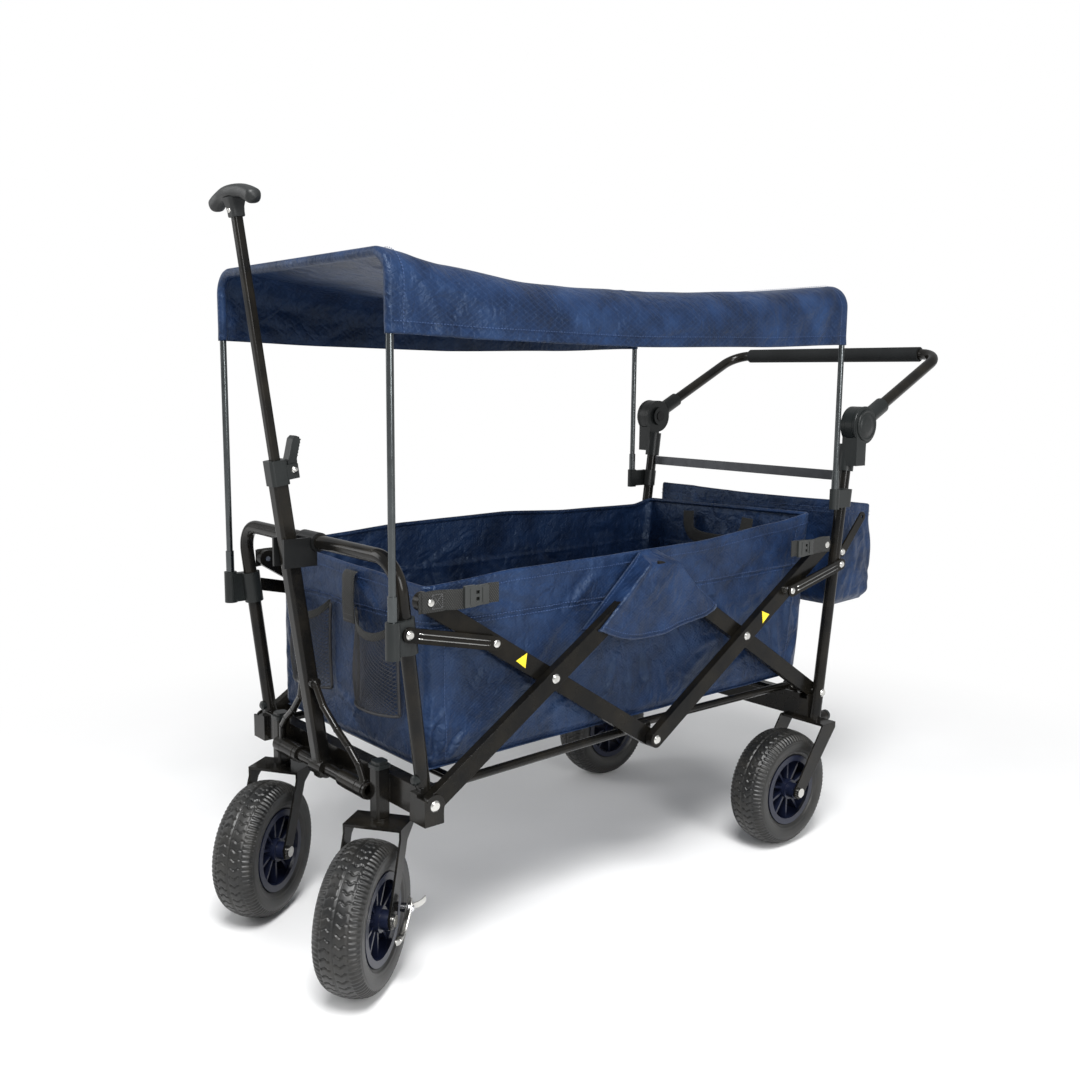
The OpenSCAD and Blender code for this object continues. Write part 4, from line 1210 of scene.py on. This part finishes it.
# ------------------------------------------------------------------ front panel: pockets, webbing loop
def net_pocket(name, xc, zb, zt, halfw, depth):
    """knotted net pocket with a bound elastic mouth"""
    def surf(u, v):
        # u across 0..1, v up 0..1
        a = (u - 0.5) * 2
        x = xc + a * halfw * (1 - 0.06 * sin(pi * v))
        dd = depth * (1 - a * a) ** 0.7 * (0.55 + 0.45 * sin(pi * min(1, v * 0.9 + 0.12)))
        y = -407.5 - dd
        z = zb + (zt - zb) * v - 16 * v * (1 - a * a) * 0.9 + 10 * v * abs(a) ** 3
        return M(x, y, z)
    nx_, nz_ = 42, 44
    vs, fs = [], []
    # diamond cells made of thin struts
    segs = []
    def P(i, j):
        return surf(i / nx_, j / nz_)
    for j in range(nz_):
        for i in range(nx_):
            if (i + j) % 2 == 0:
                segs.append((P(i, j), P(i + 1, j + 1)))
                if i > 0:
                    segs.append((P(i, j), P(i - 1, j + 1)))
            else:
                pass
    for j in range(nz_):
        for i in range(1, nx_ + 1):
            if (i + j) % 2 == 0 and i == nx_:
                segs.append((P(i, j), P(i - 1, j + 1)))
    r = 0.00048
    for a, b in segs:
        t = (b - a).normalized()
        u = t.cross(Vector((0, 1, 0))).normalized()
        w = t.cross(u)
        base = len(vs)
        for c in (a, b):
            for k in range(4):
                q = pi / 2 * k
                vs.append(c + (u * cos(q) + w * sin(q)) * r)
        for k in range(4):
            fs.append((base + k, base + (k + 1) % 4, base + 4 + (k + 1) % 4, base + 4 + k))
    net = obj("net", vs, fs, MESH)
    mouth = strip("m", [surf(i / 40, 1.0) for i in range(41)], (0, 0, 1), 0.012, 0.0016, WEBX)
    s1 = tube("e", [surf(0, j / 20) for j in range(21)], 0.0022, MESH, 8)
    s2 = tube("e", [surf(1, j / 20) for j in range(21)], 0.0022, MESH, 8)
    s3 = tube("e", [surf(i / 30, 0) for i in range(31)], 0.0022, MESH, 8)
    return join(name, [net, mouth, s1, s2, s3])


pockets = [net_pocket("net_pocket_right", 90, 350, 468, 54, 30), net_pocket("net_pocket_left", -90, 350, 468, 54, 30)]


def loop(name, x0, y0, ztop, zbot, out=1.6, w=0.030):
    pts = [M(x0, y0 + 2.0, ztop + 2), M(x0, y0 - out, ztop - 4), M(x0, y0 - out - 1.0, ztop - 20), M(x0, y0 - out - 1.8, (ztop + zbot) / 2), M(x0, y0 - out - 1.0, zbot + 14), M(x0, y0 - out, zbot)]
    P = catmull(pts, 26)
    a = strip("l", P, (1, 0, 0), w, 0.0016, WEBZ)
    st_ = []
    for dz in (0, 8):
        q = [M(x0 - 12 + 24 * i / 8, y0 - out - 2.2, zbot + 4 + dz) for i in range(9)]
        st_.append(stitches("s", q, STITCHB, 0.0028, 0.002, 0.0004))
    return join(name, [a] + st_)


front_loop = loop("front_web_loop", 24, -408.5, 532, 460, 4.0)

# carrying handle inside the rear wall
HPL = [(-72, 552), (-71, 538), (-67, 522), (-54, 510), (-30, 504), (0, 502.5), (30, 504), (54, 510), (67, 522), (71, 538), (72, 552)]
hp = catmull([M(x, 398.5 + (z - 500) * 0.13 - (3.5 if abs(x) < 60 else 1.0), z) for x, z in HPL], 60)
hw = []
for i in range(61):
    t = hp[min(60, i + 1)] - hp[max(0, i - 1)]
    hw.append(t.cross(Vector((0, 1, 0.1))).normalized() * (1.0))
rear_web = strip("rear_web_loop", hp, hw, 0.026, 0.0016, WEBX)


# ------------------------------------------------------------------ small hardware
def yz_tri(c, s, x, sx, rot):
    pts = [Vector((cos(rad(90 + 120 * k + rot)) * s, sin(rad(90 + 120 * k + rot)) * s)) for k in range(3)]
    vs = [M(sx * xx, c[0] + p.x, c[1] + p.y) for xx in (x, x + 0.5) for p in pts]
    fs = [(0, 1, 2), (3, 5, 4), (0, 3, 4, 1), (1, 4, 5, 2), (2, 5, 3, 0)]
    return obj("t", vs, fs, YELLOW, False)


marks_f = join("front_markers", [yz_tri((-258, 419.5), 12.2, 222.6, sx, -38) for sx in (1, -1)])
marks_r = join("rear_markers", [yz_tri((252, 416), 12.2, 237.1, sx, 38) for sx in (1, -1)])


def rivet(y, z, x, r, sx, body_mat=None):
    return lathe("rv", [(r * 0.001, 0.0), (r * 0.00098, 0.0006), (r * 0.0008, 0.0013), (r * 0.0005, 0.0017), (0.0, 0.0018)], M(sx * x, y, z), (sx, 0, 0), RIVET, 20)


_half = math.hypot(417.5 / 2, 132.5)
_ca, _sa = (417.5 / 2) / _half, 132.5 / _half
LSY, LSZ = 417.5 / 2 + 121 * _ca, 388.5 + 121 * _sa
link_rivets_f = join("front_link_rivets", [rivet(-LSY, LSZ, 232.6, 5.6, sx) for sx in (1, -1)])
link_rivets_r = join("rear_link_rivets", [rivet(LSY, LSZ, 248.6, 5.6, sx) for sx in (1, -1)])


# two thin ribs along each link, coloured bright steel grey as a painted highlight
def link_ribs(p, q, x, sx):
    L = []
    d = Vector((q[0] - p[0], q[1] - p[1]))
    n = d.normalized()
    m = Vector((-n.y, n.x))
    for k in (-3.2, 3.2):
        a = Vector(p) + n * 13 + m * k
        b = Vector(q) - n * 12 + m * k
        L.append(tube("r", [M(sx * (x + 0.1), a.x + (b.x - a.x) * t / 12, a.y + (b.y - a.y) * t / 12) for t in range(13)], 0.0010, RIB_HIGHLIGHT, 8))
    return L


ribs_f = join("front_link_ribs", [o for sx in (1, -1) for o in link_ribs((-449, 484.7), (-LSY, LSZ), 232.6, sx)])
ribs_r = join("rear_link_ribs", [o for sx in (1, -1) for o in link_ribs((449, 484.7), (LSY, LSZ), 248.6, sx)])
strap_rivets = join("strap_rivets", [rivet(-414, 521, 228.0, 5.2, sx) for sx in (1, -1)])


def hub_detail(sx):
    c = M(sx * 264, 481, 728)
    ax = (sx, 0, 0)
    a = lathe("h", [(0.0265, -0.001), (0.0265, 0.0006), (0.0255, 0.0014), (0.0240, 0.0014), (0.0232, 0.0006), (0.0200, 0.0004), (0.0194, 0.0016), (0.0100, 0.0022), (0.0, 0.0024)], c, ax, PLAST, 56)
    b = lathe("h", [(0.0322, -0.0075), (0.0327, -0.0065), (0.0327, -0.0040), (0.0318, -0.0028), (0.0300, -0.0020), (0.0280, -0.0018)], c, ax, PLAST, 56)
    return join("hub_cap_right" if sx > 0 else "hub_cap_left", [a, b])


hub_caps = [hub_detail(1), hub_detail(-1)]

# ------------------------------------------------------------------ pull handle: moulded T grip and ribbed cam lever
HL = rad(8.0)


def HF(x, y, z):
    """handle frame, mm along the leaning tube, to metres in the row frame"""
    return M(x, -447 + y * cos(HL) - z * sin(HL), 250 + y * sin(HL) + z * cos(HL))


def make_grip():
    RG = 133.0
    NA_, NR = 72, 36

    def f(i, j):
        t = (i - 0.5) * 2
        th = t * 26.4
        c = (RG * sin(rad(th)), 792.5 - RG + RG * cos(rad(th)))
        e = abs(t)
        end = max(0.0, 1 - ((e - 0.86) / 0.14) ** 2) ** 0.5 if e > 0.86 else 1.0
        # flat palm swell in the middle, waisted, then full round ends
        ry_ = (10.6 + 2.0 * math.exp(-(e / 0.30) ** 2) - 1.2 * math.exp(-((e - 0.52) / 0.22) ** 2)) * end
        rz_ = (9.0 + 0.6 * smooth01(e * 1.6)) * end
        q = 2 * pi * j
        cy, cz = cos(q), sin(q)
        # squared-off section with a finger groove underneath
        k = (abs(cy) ** 2.6 + abs(cz) ** 2.6) ** (-1 / 2.6)
        y = ry_ * cy * k
        n = rz_ * cz * k
        if cz < 0:
            n *= 1 - 0.24 * math.exp(-((e - 0.45) / 0.22) ** 2)
        sx_, cx_ = sin(rad(th)), cos(rad(th))
        return HF(c[0] + n * sx_, y, c[1] + n * cx_)
    g = grid("g", f, NA_, NR, GRIPM, cv=True)
    # neck that clamps the tube, with its screw
    def nf(i, j):
        a = 2 * pi * i
        prof = [(8.3, 761.5), (9.3, 761.5), (9.9, 763), (9.9, 768), (10.6, 774), (12.4, 780), (13.6, 786)]
        r_, z_ = prof[round(j * 6)]
        k = (abs(cos(a)) ** 5 + abs(sin(a)) ** 5) ** (-0.2)
        return HF(r_ * cos(a) * k * 0.92, r_ * sin(a) * k * 0.92, z_)
    n = grid("n", nf, 48, 6, GRIPM, cu=True)
    ax = HF(0, -1, 0) - HF(0, 0, 0)
    sc = lathe("sc", [(0.0032, -0.001), (0.0032, 0.0006), (0.0026, 0.0014), (0.0, 0.0017)], HF(0, -9.3, 770), ax, RIVET, 20)
    return join("pull_grip_shell", [g, n, sc])


grip_shell = make_grip()


def make_lever():
    L = []
    for k in range(6):
        z = 447.5 + k * 4.1
        yb = 28.2 + (z - 444) * 8.5 / 22.0 if z > 444 else 28.2
        pts = [HF(-6.9 + 13.8 * t / 6, yb + 1.0, z) for t in range(7)]
        L.append(tube("lr", pts, 0.00115, PLAST, 8))
    for sx_ in (1, -1):
        L.append(lathe("lp", [(0.0048, 0.0), (0.0046, 0.0010), (0.0034, 0.0018), (0.0, 0.0021)], HF(sx_ * 12.5, 21, 430), (sx_, 0, 0), RIVET, 22))
    return join("cam_lever_ribs", L)


lever_ribs = make_lever()


# ------------------------------------------------------------------ foot brakes: pressed pedal, boss and rolled lip
def make_brake(s, yaw):
    yw = rad(yaw)
    ex, ey = Vector((cos(yw), sin(yw), 0)), Vector((-sin(yw), cos(yw), 0))
    o0 = M(s * 139.3, -438, 0)
    m = 1 if s > 0 else -1

    def Q(x, y, z):
        return o0 + ex * (m * x / 1000.0) + ey * (y / 1000.0) + Vector((0, 0, z / 1000.0))
    mid = catmull([Vector((-22, 117, 0)), Vector((-31, 108, 0)), Vector((-40, 95, 0)), Vector((-51, 84, 0)), Vector((-64, 79, 0)), Vector((-76, 82, 0))], 40)
    L = []

    def plate(u, v):
        i = round(u * 40)
        p = mid[i]
        t = mid[min(40, i + 1)] - mid[max(0, i - 1)]
        t.normalize()
        n = Vector((-t.y, t.x, 0))
        w = (6.0 + 3.5 * sin(pi * min(1, u * 1.05))) * (1.0 if u < 0.93 else max(0.25, (1 - u) / 0.07))
        q = p + n * ((v - 0.5) * 2 * w)
        # cupped plate with its lower lip turned outward
        x = 52.2 + 1.8 * (1 - (2 * v - 1) ** 2) * -1 + 7.5 * smooth01((0.22 - v) / 0.22) * smooth01(u / 0.2)
        return Q(x, q.x, q.y)
    a = grid("b", plate, 40, 14, BRAKE)
    solid(a, 0.0018, 0.0)
    L.append(a)
    # three pressed dimples
    for t in (14, 20, 26):
        p = mid[t]
        L.append(lathe("d", [(0.0030, 0.0), (0.0026, 0.0008), (0.0012, 0.0013), (0.0, 0.0014)], Q(51.6, p.x, p.y), ex * m, BRAKE, 16))
    # boss and bolt
    L.append(lathe("bo", [(0.0, -0.0106), (0.0062, -0.0106), (0.0062, 0.0), (0.0084, 0.0), (0.0084, 0.0022), (0.0070, 0.0036), (0.0040, 0.0046), (0.0040, 0.0062), (0.0030, 0.0070), (0.0, 0.0072)],
                   Q(53.2, -32, 106.4), ex * m, CHROME, 36))
    # thin release tail
    tail = catmull([Q(53.5, -30, 106), Q(56, -18, 103.5), Q(60.5, -8, 103), Q(64.5, 1, 106)], 16)
    tl = strip("t", tail, (0, 0, 1), 0.009, 0.0016, BRAKE)
    L.append(tl)
    return join("brake_pedal_" + ("right" if s > 0 else "left"), L)


brakes = [(make_brake(1, 35.2), "right"), (make_brake(-1, 32.6), "left")]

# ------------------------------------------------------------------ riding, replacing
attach(canopy, "canopy_front")
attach(canopy_thread, "canopy_front")
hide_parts("canopy_fabric")
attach(tub, "front_frame")
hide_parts("tub_fabric")
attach(tub_thread, "front_frame")
for o in flaps + flap_trims + straps + strap_trim + pockets + [front_loop, rear_web]:
    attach(o, "front_frame")
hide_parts("side_flaps")
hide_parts("side_straps")
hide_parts("strap_buckles")
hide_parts("front_pockets")
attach(basket, "rear_frame")
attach(basket_thread, "rear_frame")
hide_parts("rear_basket")
for t, body, node in TY:
    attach(t, body)
    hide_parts(node)
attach(marks_f, "front_inner_bars")
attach(marks_r, "rear_outer_bars")
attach(link_rivets_f, "front_links")
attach(ribs_f, "front_links")
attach(ribs_r, "rear_links")
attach(strap_rivets, "front_frame")
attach(link_rivets_r, "rear_links")
for o in hub_caps:
    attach(o, "rear_frame")
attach(grip_shell, "pull_slider")
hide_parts("handle_grip")
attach(lever_ribs, "cam_lever")
for o, side_ in brakes:
    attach(o, "foot_brake_" + side_)
    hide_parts("brake_" + side_)

# cloth that spans the two end frames gets its own copy of its mesh data
for o in [tub, tub_thread, canopy, canopy_thread] + flaps + flap_trims + [s for s in straps] + strap_trim + [rear_web]:
    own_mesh(o)

# ------------------------------------------------------------------ floor, light, camera
def floor_mat():
    """pale studio paper that runs out to plain white"""
    m, nt, p = new_mat("studio_floor")
    v = coords(nt)
    n = noise_tex(nt, v, 3.0, 3.0, 0.5)
    nt.links.new(ramp(nt, n, [(0.3, (0.80, 0.80, 0.80)), (0.7, (0.83, 0.83, 0.83))]), p.inputs["Base Color"])
    p.inputs["Roughness"].default_value = 0.85
    p.inputs["Specular IOR Level"].default_value = 0.1
    ln = N(nt, "ShaderNodeVectorMath", operation="LENGTH")
    nt.links.new(v, ln.inputs[0])
    far = N(nt, "ShaderNodeMapRange", interpolation_type="SMOOTHSTEP")
    nt.links.new(ln.outputs["Value"], far.inputs["Value"])
    far.inputs["From Min"].default_value = 0.70
    far.inputs["From Max"].default_value = 1.55
    em = N(nt, "ShaderNodeEmission")
    em.inputs[0].default_value = (1, 1, 1, 1)
    em.inputs[1].default_value = 1.0
    mx_ = N(nt, "ShaderNodeMixShader")
    out = [k for k in nt.nodes if k.type == "OUTPUT_MATERIAL"][0]
    nt.links.new(far.outputs[0], mx_.inputs[0])
    nt.links.new(p.outputs[0], mx_.inputs[1])
    nt.links.new(em.outputs[0], mx_.inputs[2])
    nt.links.new(mx_.outputs[0], out.inputs[0])
    return m


floor = obj("studio_floor", [(-9, -9, -0.0005), (9, -9, -0.0005), (9, 9, -0.0005), (-9, 9, -0.0005)], [(0, 1, 2, 3)], floor_mat(), False)

world = bpy.data.worlds.new("studio")
bpy.context.scene.world = world
world.use_nodes = True
wt = world.node_tree
bg = wt.nodes["Background"]
bg.inputs[0].default_value = (0.97, 0.985, 1, 1)
bg.inputs[1].default_value = 0.46
bg2 = wt.nodes.new("ShaderNodeBackground")
bg2.inputs[0].default_value = (1, 1, 1, 1)
bg2.inputs[1].default_value = 1.0
lp = wt.nodes.new("ShaderNodeLightPath")
mx = wt.nodes.new("ShaderNodeMixShader")
wt.links.new(lp.outputs["Is Camera Ray"], mx.inputs[0])
wt.links.new(bg.outputs[0], mx.inputs[1])
wt.links.new(bg2.outputs[0], mx.inputs[2])
wt.links.new(mx.outputs[0], wt.nodes["World Output"].inputs[0])


def area(name, loc, target, size, power, col=(1, 1, 1)):
    l = bpy.data.lights.new(name, "AREA")
    l.shape = "RECTANGLE"
    l.size, l.size_y = size
    l.energy = power
    l.color = col
    o = bpy.data.objects.new(name, l)
    o.location = loc
    d = Vector(target) - Vector(loc)
    o.rotation_euler = d.to_track_quat("-Z", "Y").to_euler()
    bpy.context.scene.collection.objects.link(o)
    return o


area("key", (1.6, -1.6, 3.4), (0, 0, 0.4), (1.3, 1.3), 165)
area("side", (3.0, -0.6, 1.5), (0, 0, 0.5), (0.9, 1.6), 52)
area("left", (-2.2, -2.4, 1.8), (0, -0.2, 0.5), (1.2, 2.0), 26)

# camera: 49.4 degrees round from the front toward the right side, 8.35 degrees down
az, pitch, roll = rad(49.4048), rad(8.3535), rad(0.5359)
fw = Vector((-sin(az) * cos(pitch), cos(az) * cos(pitch), -sin(pitch)))
rt = Vector((cos(az), sin(az), 0))
up = rt.cross(fw)
r2 = rt * cos(roll) + up * sin(roll)
u2 = up * cos(roll) - rt * sin(roll)
cam_data = bpy.data.cameras.new("camera")
cam_data.lens = 36.804
cam_data.sensor_width = 36.0
cam = bpy.data.objects.new("camera", cam_data)
Rm = Matrix(((r2.x, u2.x, -fw.x), (r2.y, u2.y, -fw.y), (r2.z, u2.z, -fw.z))).to_4x4()
cam.matrix_world = Matrix.Translation(Vector((1.3588, -1.2025 + SY, 0.8044))) @ Rm
bpy.context.scene.collection.objects.link(cam)
bpy.context.scene.camera = cam
bpy.context.scene.view_settings.view_transform = "Standard"
bpy.context.scene.view_settings.exposure = 0.0
